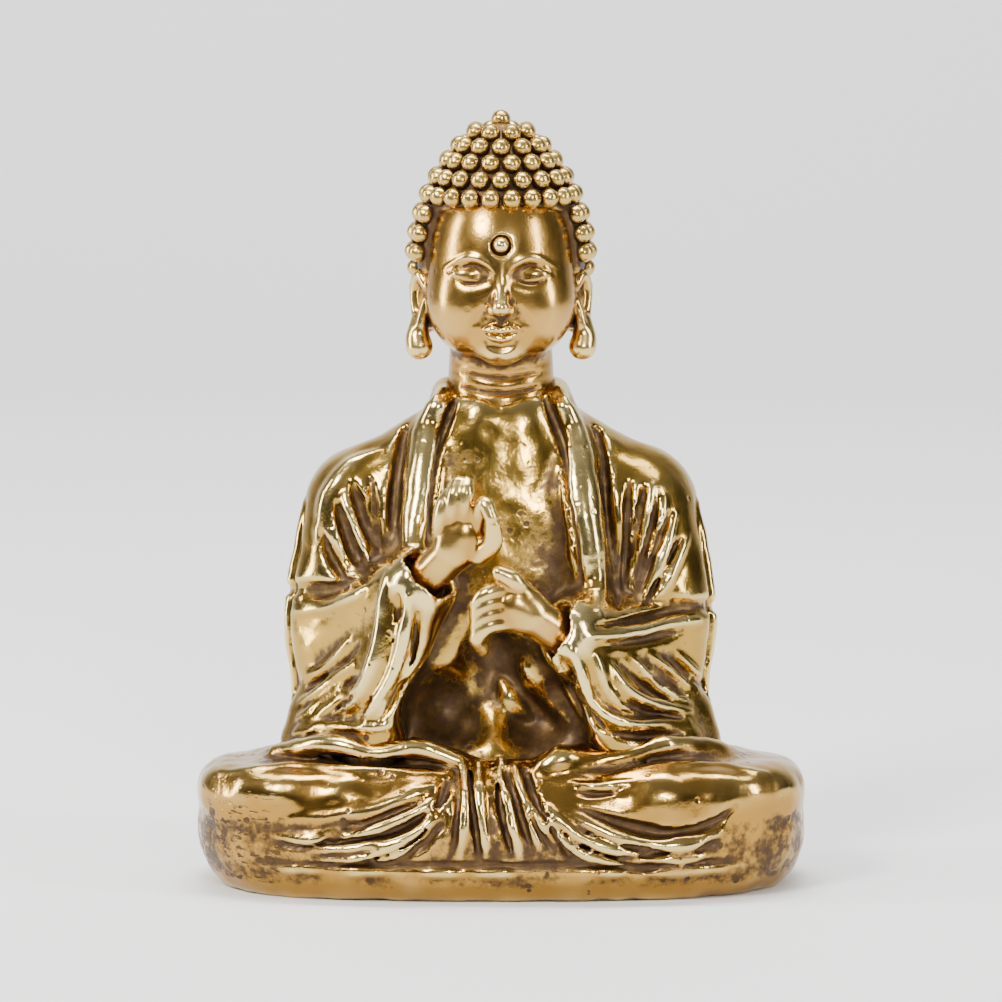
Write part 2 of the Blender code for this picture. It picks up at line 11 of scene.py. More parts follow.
import bmesh
import bpy
import numpy as np
import openvdb
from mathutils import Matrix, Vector


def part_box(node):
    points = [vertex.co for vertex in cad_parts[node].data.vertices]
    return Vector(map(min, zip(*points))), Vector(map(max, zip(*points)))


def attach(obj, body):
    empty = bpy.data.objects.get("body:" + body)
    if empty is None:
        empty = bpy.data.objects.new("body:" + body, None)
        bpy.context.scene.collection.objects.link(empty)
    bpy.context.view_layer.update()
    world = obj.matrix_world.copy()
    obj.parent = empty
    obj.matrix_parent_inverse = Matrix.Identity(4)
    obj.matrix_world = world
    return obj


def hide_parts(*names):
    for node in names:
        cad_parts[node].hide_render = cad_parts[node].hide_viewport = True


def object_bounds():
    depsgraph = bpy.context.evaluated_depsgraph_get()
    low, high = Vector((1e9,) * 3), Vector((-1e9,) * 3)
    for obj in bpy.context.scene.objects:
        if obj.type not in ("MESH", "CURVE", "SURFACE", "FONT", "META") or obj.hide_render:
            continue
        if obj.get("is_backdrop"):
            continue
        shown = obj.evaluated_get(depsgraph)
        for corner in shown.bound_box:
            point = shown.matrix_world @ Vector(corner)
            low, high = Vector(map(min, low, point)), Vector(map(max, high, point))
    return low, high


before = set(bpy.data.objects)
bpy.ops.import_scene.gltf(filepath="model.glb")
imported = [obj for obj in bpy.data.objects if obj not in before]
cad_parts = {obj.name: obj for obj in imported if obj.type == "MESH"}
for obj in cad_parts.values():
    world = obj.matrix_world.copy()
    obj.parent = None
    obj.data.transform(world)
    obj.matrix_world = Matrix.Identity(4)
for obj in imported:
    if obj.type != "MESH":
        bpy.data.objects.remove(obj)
cad_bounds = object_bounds()
MM = 0.001
print("solids:", sorted(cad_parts))
print("size in mm:", [round((b - a) / MM, 1) for a, b in zip(*cad_bounds)])


# %% Three helpers: a box, a mesh's points and a new object
def box_mm(*nodes):
    """The lowest and highest corner round some solids, in millimetres."""
    corners = [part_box(node) for node in nodes]
    low = np.min([c[0] for c in corners], axis=0) / MM
    high = np.max([c[1] for c in corners], axis=0) / MM
    return low, high


def points_mm(mesh):
    points = np.empty(len(mesh.vertices) * 3)
    mesh.vertices.foreach_get("co", points)
    return points.reshape(-1, 3) / MM


def new_piece(name, data):
    piece = bpy.data.objects.new(name, data)
    bpy.context.scene.collection.objects.link(piece)
    return piece


HEAD, HAIR = box_mm("head_casting"), box_mm("hair_cap")
URNA = sum(box_mm("urna_bead")) / 2
print("head", HEAD, "hair", HAIR)

# %% [markdown]
# ## The block of wax
#
# A block covers one piece of the statue with a small margin. Its step decides how fine a fold it can hold: the robe
# needs about a seventh of a millimetre, and the face half of that. Two surfaces are joined with a soft minimum, which
# fills the corner between them as a warm modelling tool would.

# %% Soft joins
FAR = 4.0  # stands for any distance beyond this
REACH = 2.2  # how far round a shape it is worked into the grid
BAND = 2.4  # how far from a solid its distances are measured


def soft_min(a, b, blend):
    """The smaller of two distances, rounded where they are within the blend of each other."""
    share = np.clip(0.5 + 0.5 * (b - a) / blend, 0.0, 1.0)
    return b + (a - b) * share - blend * share * (1.0 - share)


def smooth_line(points, steps=6):
    """Points along a smooth curve through the given ones."""
    points = np.array(points, float)
    padded = np.vstack([2 * points[0] - points[1], points, 2 * points[-1] - points[-2]])
    line = []
    for a, b, c, d in zip(padded, padded[1:], padded[2:], padded[3:]):
        bend, twist = 2 * a - 5 * b + 4 * c - d, 3 * b - 3 * c + d - a
        for t in np.arange(steps) / steps:
            line.append(0.5 * (2 * b + (c - a) * t + bend * t**2 + twist * t**3))
    return np.array(line + [points[-1]])


# %% The shapes that wax is added in: balls and rolls
class Ball:
    """An ellipsoid of wax."""

    def __init__(self, centre, radii):
        self.centre, self.radii = np.array(centre, float), np.array(radii, float) * np.ones(3)
        self.low, self.high = self.centre - self.radii, self.centre + self.radii

    def distance(self, x, y, z):
        (cx, cy, cz), (rx, ry, rz) = self.centre, self.radii
        near = np.sqrt(((x - cx) / rx) ** 2 + ((y - cy) / ry) ** 2 + ((z - cz) / rz) ** 2)
        steep = np.sqrt(((x - cx) / rx**2) ** 2 + ((y - cy) / ry**2) ** 2 + ((z - cz) / rz**2) ** 2)
        return near * (near - 1.0) / np.maximum(steep, 1e-6)


class Roll:
    """A roll of wax along a smooth line, with a thickness at each given point."""

    def __init__(self, points, radii, steps=6):
        radii = np.array(radii, float) * np.ones(len(points))
        self.line = smooth_line(points, steps)
        self.radii = np.interp(np.linspace(0, 1, len(self.line)), np.linspace(0, 1, len(radii)), radii)
        wide = self.radii[:, None]
        self.low, self.high = (self.line - wide).min(0), (self.line + wide).max(0)

    def distance(self, x, y, z):
        nearest = None
        for a, b, ra, rb in zip(self.line, self.line[1:], self.radii, self.radii[1:]):
            ab = b - a
            along = ((x - a[0]) * ab[0] + (y - a[1]) * ab[1] + (z - a[2]) * ab[2]) / max(ab @ ab, 1e-9)
            along = np.clip(along, 0.0, 1.0)
            dx, dy, dz = x - a[0] - along * ab[0], y - a[1] - along * ab[1], z - a[2] - along * ab[2]
            gap = np.sqrt(dx * dx + dy * dy + dz * dz) - (ra + (rb - ra) * along)
            nearest = gap if nearest is None else np.minimum(nearest, gap)
        return nearest


# %% The block itself
class Wax:
    """A grid of distances to the surface of one piece, in millimetres."""

    def __init__(self, low, high, step):
        self.low, self.step = np.array(low, float), step
        count = np.ceil((np.array(high) - self.low) / step).astype(int) + 1
        self.axes = [self.low[i] + step * np.arange(count[i]) for i in range(3)]
        self.field = np.full(count, FAR, np.float32)

    def near(self, shape, margin):
        """The part of the grid round a shape, and the places of its points."""
        first = np.floor((shape.low - margin - self.low) / self.step).astype(int)
        last = np.ceil((shape.high + margin - self.low) / self.step).astype(int) + 1
        spans = [slice(max(a, 0), max(min(b, n), 0)) for a, b, n in zip(first, last, self.field.shape)]
        x, y, z = [axis[span].astype(np.float32) for axis, span in zip(self.axes, spans)]
        return tuple(spans), (x[:, None, None], y[None, :, None], z[None, None, :])

    def add(self, *shapes, blend=0.5):
        for shape in shapes:
            place, grid = self.near(shape, REACH)
            self.field[place] = soft_min(self.field[place], shape.distance(*grid), blend)

    def cut(self, *shapes, blend=0.15):
        for shape in shapes:
            place, grid = self.near(shape, REACH)
            self.field[place] = -soft_min(-self.field[place], shape.distance(*grid), blend)

    def smooth(self, passes):
        """Softens facets and sharp corners, a quarter of each neighbour at a time."""
        for _ in range(passes):
            for axis in range(3):
                f = np.moveaxis(self.field, axis, 0)
                f[1:-1] = 0.25 * f[:-2] + 0.5 * f[1:-1] + 0.25 * f[2:]

    def sample(self, places, field=None):
        """The field at any places, straight-line interpolated between the grid's points."""
        field = self.field if field is None else field
        at = (places - self.low) / self.step
        base = np.clip(np.floor(at).astype(int), 0, np.array(field.shape) - 2)
        t = np.clip(at - base, 0.0, 1.0)
        total = 0.0
        for corner in np.ndindex(2, 2, 2):
            weight = np.prod(np.where(corner, t, 1.0 - t), axis=1)
            i, j, k = (base + corner).T
            total = total + weight * field[i, j, k]
        return total

    def outwards(self, places):
        """The direction out of the surface at some places."""
        steps = np.eye(3) * self.step
        slope = np.stack([self.sample(places + s) - self.sample(places - s) for s in steps], axis=1)
        return slope / np.maximum(np.linalg.norm(slope, axis=1, keepdims=True), 1e-9)


# %% [markdown]
# ## Starting from the solids
#
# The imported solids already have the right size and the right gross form, so the wax starts as a copy of one. OpenVDB,
# which comes with Blender, turns a closed mesh into a grid of distances, and a finished grid back into a mesh.

# %% From mesh to grid and back
def wax_from_node(node, step, margin=0.7, passes=3):
    """A block of wax in the shape of a solid, with its facets smoothed away."""
    low, high = box_mm(node)
    wax = Wax(low - margin, high + margin, step)
    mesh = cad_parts[node].data
    corners = np.empty(len(mesh.loops), int)
    mesh.loops.foreach_get("vertex_index", corners)
    grid = openvdb.FloatGrid.createLevelSetFromPolygons(
        (points_mm(mesh) - wax.low).astype(np.float32),
        triangles=corners.reshape(-1, 3).astype(np.uint32),
        transform=openvdb.createLinearTransform(step),
        exBandWidth=BAND / step,
        inBandWidth=BAND / step,
    )
    grid.copyToArray(wax.field)
    wax.smooth(passes)
    return wax


def cast(wax, name):
    """A mesh object of the wax's surface."""
    grid = openvdb.FloatGrid(FAR)
    grid.transform = openvdb.createLinearTransform(wax.step)
    grid.copyFromArray(wax.field)
    points, quads = grid.convertToQuads(isovalue=0.0)
    mesh = bpy.data.meshes.new(name)
    mesh.from_pydata(((points + wax.low) * MM).tolist(), [], quads[:, ::-1].tolist())
    bm = bmesh.new()
    bm.from_mesh(mesh)
    bmesh.ops.recalc_face_normals(bm, faces=bm.faces)
    bm.to_mesh(mesh)
    bm.free()
    mesh.shade_smooth()
    print(name, "has", len(mesh.polygons), "faces")
    return new_piece(name, mesh)


# %% [markdown]
# ## Folds
#
# A fold is drawn on one side of the figure, as a sculptor would draw it: two numbers for each point, seen from the
# front, the back, the top or a side. It is then laid on the wax that it meets there. A ridge is a roll sunk most of the
# way in, and a groove is a roll that is pressed in and taken away again. Both fade out towards their ends.

# %% Find the surface under a drawing
SIDES = {"front": (1, 1), "back": (1, -1), "top": (2, -1), "right": (0, 1), "left": (0, -1)}


def touch(wax, drawing, side):
    """The places where a drawing, made from one side, meets the wax."""
    axis, direction = SIDES[side]
    kept = [i for i in range(3) if i != axis]
    found = []
    for u, v in drawing:
        index = [0, 0, 0]
        for i, value in zip(kept, (u, v)):
            index[i] = int(np.clip(round((value - wax.low[i]) / wax.step), 0, wax.field.shape[i] - 1))
        index[axis] = slice(None)
        column = wax.field[tuple(index)][::direction]
        places = wax.axes[axis][::direction]
        inside = np.flatnonzero(column < 0)
        if len(inside) and inside[0] > 0:
            j = inside[0]
            t = column[j - 1] / (column[j - 1] - column[j])
            place = np.zeros(3)
            place[kept[0]], place[kept[1]] = u, v
            place[axis] = places[j - 1] + t * (places[j] - places[j - 1])
            found.append(place)
    return np.array(found)


# %% Lay a ridge or press a groove
def fold_line(wax, drawing, side, steps=5):
    line = touch(wax, smooth_line(drawing, steps), side)
    for _ in range(2):
        line[1:-1] = 0.25 * line[:-2] + 0.5 * line[1:-1] + 0.25 * line[2:]
    return line


def fade(count, ends):
    """How strong a fold is along its line: full in the middle, and less towards the faded ends."""
    t = np.linspace(0, 1, count)
    start, end = (np.clip(s / 0.3, 0, 1) ** 0.7 for s in (t, 1 - t))
    return 0.25 + 0.75 * {"both": start * end, "start": start, "end": end, "none": np.ones(count)}[ends]


def fold_roll(wax, drawing, width, depth, side, ends, way):
    """A roll along a drawing that crosses the surface by only a depth. It lies inside for -1 and outside for 1."""
    line = fold_line(wax, drawing, side)
    if len(line) < 2:
        return []
    size = width / 2 * fade(len(line), ends)
    hidden = 1 - depth / (width / 2)
    middle = line + wax.outwards(line) * (way * size * hidden)[:, None]
    return [Roll(middle, size, steps=1)]


def ridge(wax, drawing, width, height, side="front", ends="both", blend=0.22):
    wax.add(*fold_roll(wax, drawing, width, height, side, ends, -1), blend=blend)


def groove(wax, drawing, width, depth, side="front", ends="both", blend=0.18):
    wax.cut(*fold_roll(wax, drawing, width, depth, side, ends, 1), blend=blend)


def mirrored(s, points):
    """Points or a drawing for one side of the figure: the left one for 1, and the right one for -1."""
    return [(s * x, *rest) for x, *rest in points]


# %% Wave the surface a little
def unsettle(wax, amount, size, seed):
    """Adds soft bumps of about one size, because wax that was rubbed by hand is never quite even."""
    lumps = np.random.default_rng(seed).uniform(-1.0, 1.0, [int((a[-1] - a[0]) / size) + 3 for a in wax.axes])
    for axis, line in enumerate(wax.axes):
        where = (line - line[0]) / size
        low = where.astype(int)
        part = (where - low).reshape([-1 if a == axis else 1 for a in range(3)])
        part = part * part * (3 - 2 * part)
        lumps = np.take(lumps, low, axis) * (1 - part) + np.take(lumps, low + 1, axis) * part
    wax.field += (amount * lumps).astype(np.float32)


# %% [markdown]
# ## The legs
#
# The legs lie folded under the robe, so the casting is one low, wide pad. The cloth is drawn tight over both knees,
# which stay smooth. It gathers in front of the ankles, where narrow pleats drop straight down and long folds run out to
# each side like the ribs of a fan. A plain rolled hem goes all the way round the foot.

# %% Wax for the legs
legs = wax_from_node("leg_casting", 0.16)
LAP = 7.3  # height of the lap in millimetres
print("legs' grid", legs.field.shape)

# %% The rolls of cloth on the lap, and a toe under the robe
legs.add(
    Roll(
        [
            (-11.6, -3.2, 7.1), (-9.9, -4.8, 7.6), (-8.4, -5.8, 7.85), (-6.4, -6.4, 7.5), (-4.2, -6.5, 7.8),
            (-2.2, -6.6, 7.1),
        ],
        [0.4, 0.5, 0.55, 0.45, 0.5, 0.4],
    ),
    Roll([(2.4, -6.7, 6.8), (3.1, -6.5, 7.1), (4.2, -6.3, 6.8)], [0.75, 0.85, 0.6]),
    Roll(
        [(4.4, -6.4, 7.0), (6.4, -6.2, 7.3), (8.4, -5.4, 7.75), (10.4, -3.8, 7.4), (11.6, -2.6, 6.9)],
        [0.5, 0.5, 0.55, 0.5, 0.4],
    ),
    blend=0.35,
)

# %% Square the knees
for s in (-1, 1):
    legs.add(
        Roll(
            mirrored(
                s, [(14.1, 1.2, 4.8), (14.2, -1.6, 5.1), (13.8, -4.2, 5.2), (11.6, -6.0, 5.3), (8.0, -6.8, 5.3)]
            ),
            [1.4, 1.45, 1.45, 1.4, 1.2],
        ),
        blend=0.8,
    )

# %% The edge of the cloth across the knees
ridge(legs, [(-14.4, 6.3), (-11.0, 6.75), (-7.0, 6.7), (-3.2, 6.6)], 0.8, 0.26)
ridge(legs, [(5.2, 6.3), (7.6, 6.75), (10.8, 6.8), (13.6, 6.4)], 0.8, 0.2)
groove(legs, [(-9.4, 7.15), (-6.4, 7.1), (-3.0, 7.0)], 0.5, 0.3)

# %% The smooth swelling over the left knee
legs.add(Roll([(5.0, -7.0, 5.4), (8.2, -6.5, 5.2), (11.4, -5.0, 5.3)], [0.7, 1.55, 1.0]), blend=0.7)
groove(legs, [(4.0, 5.0), (5.6, 4.4), (8.2, 3.7), (10.6, 4.0), (12.0, 4.9)], 0.6, 0.4)

# %% The pleats that drop in front of the ankles
PLEATS = [
    ([(-1.9, 6.8), (-1.8, 4.9), (-2.1, 2.5)], 0.5, 0.22),
    ([(-1.2, 6.9), (-1.0, 4.8), (-0.7, 2.4)], 0.55, 0.34),
    ([(0.0, 7.0), (0.4, 4.9), (1.0, 2.5)], 0.6, 0.36),
    ([(0.7, 6.8), (1.3, 5.0), (2.0, 2.8)], 0.5, 0.24),
]
for drawing, width, height in PLEATS:
    ridge(legs, drawing, width, height, ends="end")
    groove(legs, [(u - 0.42, v) for u, v in drawing], 0.36, height, ends="end")
groove(legs, [(-2.7, 6.4), (-3.4, 4.5), (-4.3, 2.7)], 0.45, 0.32, ends="end")
groove(legs, [(1.3, 6.6), (2.0, 4.9), (2.8, 3.0)], 0.4, 0.3, ends="end")

# %% The folds that fan out over the shins
# Each has its own width and height, because wet clay never gives the same fold twice.
FAN = [
    ([(-3.3, 6.1), (-5.2, 5.4), (-7.8, 4.6), (-10.8, 4.3)], 0.9, 0.2),
    ([(-3.2, 5.6), (-4.6, 4.6), (-6.6, 3.9), (-9.9, 3.4)], 0.7, 0.3),
    ([(-2.9, 5.1), (-4.0, 4.0), (-5.6, 3.1), (-7.2, 2.6), (-9.0, 2.4)], 0.75, 0.36),
    ([(-8.2, 3.9), (-9.8, 3.3), (-11.6, 3.4)], 0.5, 0.18),
    ([(1.8, 5.9), (2.4, 4.6), (3.2, 3.3), (4.8, 2.5)], 0.6, 0.3),
    ([(2.4, 5.2), (3.6, 3.8), (5.6, 3.0), (7.8, 2.8)], 0.55, 0.28),
    ([(3.2, 4.9), (5.0, 3.9), (7.2, 3.2), (9.6, 3.0), (11.2, 3.6)], 0.6, 0.3),
    ([(3.4, 2.9), (5.6, 2.3), (8.0, 2.15), (10.6, 2.4)], 0.5, 0.24),
    ([(-3.0, 4.6), (-3.9, 3.5), (-5.2, 2.6), (-6.6, 2.2)], 0.4, 0.22),
    ([(-5.8, 4.9), (-8.0, 4.1), (-10.2, 3.8)], 0.35, 0.15),
    ([(-6.2, 3.3), (-7.8, 2.9), (-9.6, 2.8)], 0.35, 0.18),
    ([(1.4, 5.4), (1.9, 4.2), (2.7, 3.2)], 0.4, 0.22),
    ([(4.2, 3.5), (5.6, 2.9), (7.0, 2.6)], 0.35, 0.18),
    ([(3.6, 6.2), (4.9, 6.0), (6.6, 6.25)], 0.4, 0.2),
]
for drawing, width, height in FAN:
    ridge(legs, drawing, width, height)
    groove(legs, [(u, v - 0.2 - width * 0.35) for u, v in drawing], 0.36, height * 1.15)

# %% The folds behind, which run from the small of the back to the knees
for x in (-11.5, -8.6, -5.4, -1.8, 1.8, 5.4, 8.6, 11.5):
    drawing = [(x * 0.72, 5.6), (x * 0.88, 4.2), (x, 2.6)]
    ridge(legs, drawing, 1.1, 0.26, side="back")
    groove(legs, [(u + 0.75 * np.sign(x), v) for u, v in drawing], 0.6, 0.26, side="back")

# %% The hem round the foot
HEM_RISE = 1.6
for side in ("front", "back"):
    groove(legs, [(x, HEM_RISE + 0.45) for x in np.linspace(-12.4, 12.4, 9)], 0.45, 0.2, side=side)
for start, end in ((-11.2, -9.2), (-7.8, -6.0), (-4.0, -2.0), (-1.2, 0.6), (5.0, 6.4), (7.4, 11.4)):
    ridge(legs, [(start, HEM_RISE), (0.5 * (start + end), HEM_RISE + 0.08), (end, HEM_RISE)], 0.55, 0.14)

# %% [markdown]
# ## The body
#
# The trunk, the shoulders and both sleeves are one casting. The robe hangs open from the neck, with a flat border down
# each side. From the shoulders the cloth is pulled towards the raised forearms, so its folds lean inwards and end at a
# crease across each elbow. Below the forearms the wide sleeves hang down and spread on the lap.

# %% Wax for the body
body = wax_from_node("body_casting", 0.15, passes=4)
print("body's grid", body.field.shape)

# %% Round the shoulders and fill the sleeves
for s in (-1, 1):
    body.add(
        Roll(
            mirrored(s, [(7.2, 1.2, 19.6), (8.2, 0.6, 14.5), (8.4, 0.2, 10.0), (8.9, 0.0, 7.4)]),
            [2.7, 2.7, 2.3, 1.9],
        ),
        blend=0.8,
    )
    body.cut(Ball((s * 12.6, 0.0, 10.0), (2.2, 5.0, 1.5)), blend=0.8)
    body.add(
        Roll(mirrored(s, [(9.4, -0.8, 9.2), (10.2, -1.2, 7.9), (10.6, -1.6, 7.2)]), [0.9, 0.8, 0.6]),
        Roll(
            mirrored(s, [(5.6, -4.9, 8.4), (7.4, -4.4, 7.9), (9.2, -3.1, 7.7), (10.5, -1.2, 7.4)]),
            [0.8, 1.0, 1.0, 0.8],
        ),
        Roll(mirrored(s, [(6.6, -3.8, 9.6), (8.6, -2.6, 9.0), (9.8, -1.0, 8.8)]), [1.0, 1.1, 1.0]),
        blend=0.8,
    )
    body.add(
        Roll(
            mirrored(s, [(3.4, -1.7, 24.8), (3.0, -0.8, 25.3), (2.9, 0.9, 25.5), (1.8, 2.7, 25.4)]),
            [0.3, 0.45, 0.5, 0.5],
        ),
        blend=0.6,
    )

# %% The hollow over the lap, with the folds of the inner robe in it
for middle, size in (
    ((-2.4, -5.8, 9.4), (2.7, 3.6, 2.6)),
    ((1.7, -5.8, 9.2), (2.5, 3.5, 2.5)),
    ((-0.4, -5.8, 11.4), (2.5, 3.6, 3.2)),
):
    body.cut(Ball(middle, size), blend=0.9)
ridge(body, [(1.2, 11.6), (2.3, 10.1), (3.4, 8.9)], 1.2, 0.4, blend=0.7)
ridge(body, [(0.0, 10.6), (0.6, 9.6), (1.4, 8.8)], 0.8, 0.25, blend=0.5)

# %% The two borders of the robe
for s in (-1, 1):
    band = mirrored(s, [(3.3, 25.3), (4.1, 23.0), (4.45, 20.0), (4.65, 17.2)])
    if s > 0:
        band = band[:-1] + [(4.9, 17.0), (5.0, 14.8)]
    ridge(body, band, 1.9, 0.4)
    groove(body, [(u - s * 1.0, v) for u, v in band], 0.5, 0.4, ends="end")
    groove(body, [(u + s * 1.05, v) for u, v in band], 0.6, 0.45, ends="end")
ridge(body, [(5.75, 21.6), (5.85, 18.5), (6.0, 15.3)], 0.6, 0.22)

# %% The folds of the right shoulder
RIGHT_SHOULDER_GROOVES = [
    ([(-8.7, 20.1), (-7.8, 17.9), (-6.9, 16.0)], 0.85, 0.6),
    ([(-7.7, 20.9), (-7.2, 19.4), (-6.6, 17.7)], 0.7, 0.5),
    ([(-9.4, 18.5), (-8.6, 16.9), (-7.7, 15.4)], 0.75, 0.5),
    ([(-6.7, 21.1), (-6.5, 19.1), (-6.2, 17.1)], 0.45, 0.3),
]
for drawing, width, depth in RIGHT_SHOULDER_GROOVES:
    groove(body, drawing, width, depth)
ridge(body, [(-9.4, 17.9), (-9.0, 20.1), (-7.7, 21.7), (-6.4, 22.4)], 1.3, 0.25)
ridge(body, [(-8.1, 20.2), (-7.4, 18.4), (-6.7, 16.7)], 0.45, 0.2)
ridge(body, [(-9.0, 18.4), (-8.2, 16.8), (-7.3, 15.4)], 0.45, 0.2)

# %% The folds of the left shoulder
LEFT_SHOULDER_FOLDS = [
    [(6.6, 20.9), (6.5, 18.4), (6.35, 15.4)],
    [(7.4, 20.7), (7.1, 18.6), (6.6, 16.0)],
    [(8.1, 20.0), (7.7, 18.0), (6.9, 15.6)],
    [(8.7, 19.2), (8.0, 17.2), (7.0, 15.0)],
    [(9.3, 18.0), (8.5, 16.4), (7.5, 14.7)],
]
for drawing in LEFT_SHOULDER_FOLDS:
    groove(body, drawing, 0.5, 0.42)
    ridge(body, [(u + 0.36, v) for u, v in drawing], 0.5, 0.22)

# %% The crease across each elbow
groove(body, [(-10.5, 14.8), (-9.2, 15.2), (-8.0, 15.8), (-6.6, 16.7)], 0.6, 0.4)
ridge(body, [(-10.6, 14.1), (-9.0, 14.5), (-7.6, 15.3), (-6.2, 16.4)], 0.8, 0.22)
groove(body, [(4.9, 14.2), (6.8, 14.15), (8.6, 14.3), (10.2, 14.3)], 0.5, 0.45)
ridge(body, [(4.4, 13.7), (6.6, 13.55), (8.6, 13.7), (10.3, 13.7)], 0.6, 0.3)
groove(body, [(5.2, 13.1), (7.2, 13.0), (9.2, 13.2)], 0.35, 0.25)

# %% The mouths of the sleeves
ridge(body, [(-5.9, 16.5), (-6.1, 14.2), (-6.6, 11.8), (-7.6, 9.88), (-8.7, 8.68)], 1.15, 0.42)
ridge(body, [(-4.7, 15.8), (-4.9, 13.8), (-5.6, 11.4), (-6.9, 9.48)], 0.55, 0.3)
groove(body, [(-5.3, 15.8), (-5.45, 13.6), (-6.1, 11.24), (-7.35, 9.16)], 0.45, 0.5)
groove(body, [(-4.2, 14.8), (-4.4, 12.8), (-5.1, 10.76), (-6.2, 9.16)], 0.5, 0.5)
ridge(body, [(3.1, 13.9), (3.9, 12.3), (4.5, 10.6), (5.6, 9.4), (7.2, 8.92), (9.6, 8.68)], 0.7, 0.35)
groove(body, [(3.0, 12.6), (3.7, 10.92), (4.4, 9.56), (5.4, 8.6)], 0.55, 0.5)
ridge(body, [(2.9, 11.8), (3.5, 10.36), (4.3, 8.84)], 0.5, 0.25)
groove(body, [(5.6, 8.6), (7.2, 8.28), (9.4, 8.2)], 0.45, 0.4)

# %% The folds of the hanging sleeves
SLEEVE_FOLDS = [
    ([(-7.7, 13.2), (-8.9, 11.5), (-10.4, 10.44)], 0.7, 0.24),
    ([(-7.6, 11.9), (-9.0, 10.44), (-10.4, 9.48)], 0.6, 0.3),
    ([(-7.9, 10.76), (-9.2, 9.56), (-10.5, 8.68)], 0.6, 0.3),
    ([(-8.4, 9.8), (-9.4, 8.92), (-10.6, 8.1)], 0.5, 0.25),
    ([(6.6, 12.3), (8.0, 10.76), (9.8, 9.56)], 0.6, 0.3),
    ([(7.6, 12.3), (9.0, 10.92), (10.3, 9.96)], 0.55, 0.28),
    ([(5.6, 12.1), (6.4, 10.76), (7.8, 9.8), (9.8, 9.16)], 0.65, 0.3),
    ([(9.0, 12.2), (9.9, 11.24), (10.5, 10.44)], 0.45, 0.2),
    ([(4.9, 12.7), (5.4, 10.92), (6.6, 9.88), (8.4, 9.4)], 0.5, 0.22),
]
for drawing, width, height in SLEEVE_FOLDS:
    ridge(body, drawing, width, height)
    groove(body, [(u - 0.42 * np.sign(u), v - 0.25) for u, v in drawing], 0.4, height * 1.2)
ridge(body, [(-10.8, 7.9), (-9.3, 8.44), (-7.4, 8.76), (-5.6, 8.92)], 0.5, 0.25)

# %% The back of the robe
for i in range(6):
    shift = i * 2.1
    drawing = [(6.6 - shift * 0.8, 21.5 - i * 0.3), (3.6 - shift, 16.0), (-0.4 - shift * 0.62, 9.6)]
    groove(body, drawing, 0.7, 0.32, side="back")
    ridge(body, [(u + 0.55, v) for u, v in drawing], 0.8, 0.22, side="back")
ridge(body, [(-3.6, 24.3), (0.0, 23.9), (3.6, 24.3)], 0.9, 0.25, side="back")

# %% The outer sides of the sleeves
for side in ("left", "right"):
    for y0, y1 in ((0.4, -0.6), (2.0, 1.2), (3.2, 2.6)):
        drawing = [(y0, 19.6), (0.5 * (y0 + y1), 14.0), (y1, 8.6)]
        groove(body, drawing, 0.65, 0.3, side=side)
        ridge(body, [(u + 0.5, v) for u, v in drawing], 0.65, 0.2, side=side)
    rise = 0.9 if side == "right" else 0.0
    groove(body, [(-3.4, 15.0 + rise), (-1.0, 14.4 + rise), (1.2, 14.0 + rise)], 0.8, 0.16, side=side)

# %% [markdown]
# ## The head
#
# The face is built up as a sculptor's first lesson teaches it. From the hairline to the chin it is divided into equal
# thirds, by the brows and by the foot of the nose. The eyes lie just under the brows, one eye's width apart, and the
# lids are lowered. The lobes of the ears are long, because they once carried heavy rings.

# %% The measures of the face
BROW = URNA[2] - 0.9
FACE = box_mm("urna_bead")[0][1] + 0.3  # how far forward the plane of the face is
CHIN = BROW - 5.4
EYE, NOSE, MOUTH = BROW - 0.62, BROW - 2.65, BROW - 3.6
HALF_FACE, HALF_SKULL_HEIGHT = 3.9, 4.5
print(f"chin {CHIN:.1f}, mouth {MOUTH:.1f}, nose {NOSE:.1f}, eyes {EYE:.1f}, brows {BROW:.1f}")

# %% Skull, jaw and neck
head = Wax((-5.5, FACE - 1.6, HEAD[0][2] - 1.6), (5.5, 5.6, HEAD[1][2] + 0.4), 0.085)
head.add(
    Ball((0, 0.5, CHIN + 5.7), (HALF_FACE, 0.5 - FACE, HALF_SKULL_HEIGHT)),
    Ball((0, FACE + 3.15, CHIN + 3.5), (3.68, 3.1, 3.5)),
    Ball((-1.75, FACE + 2.35, CHIN + 2.9), (1.75, 1.95, 2.1)),
    Ball((1.75, FACE + 2.35, CHIN + 2.9), (1.75, 1.95, 2.1)),
    Ball((0, FACE + 1.0, CHIN + 0.9), (1.05, 0.9, 0.85)),
    blend=1.0,
)
head.add(Roll([(0, 0.9, CHIN - 2.6), (0, 0.8, CHIN - 1.2), (0, 0.7, CHIN + 1.6)], [3.0, 2.75, 2.6]), blend=0.5)

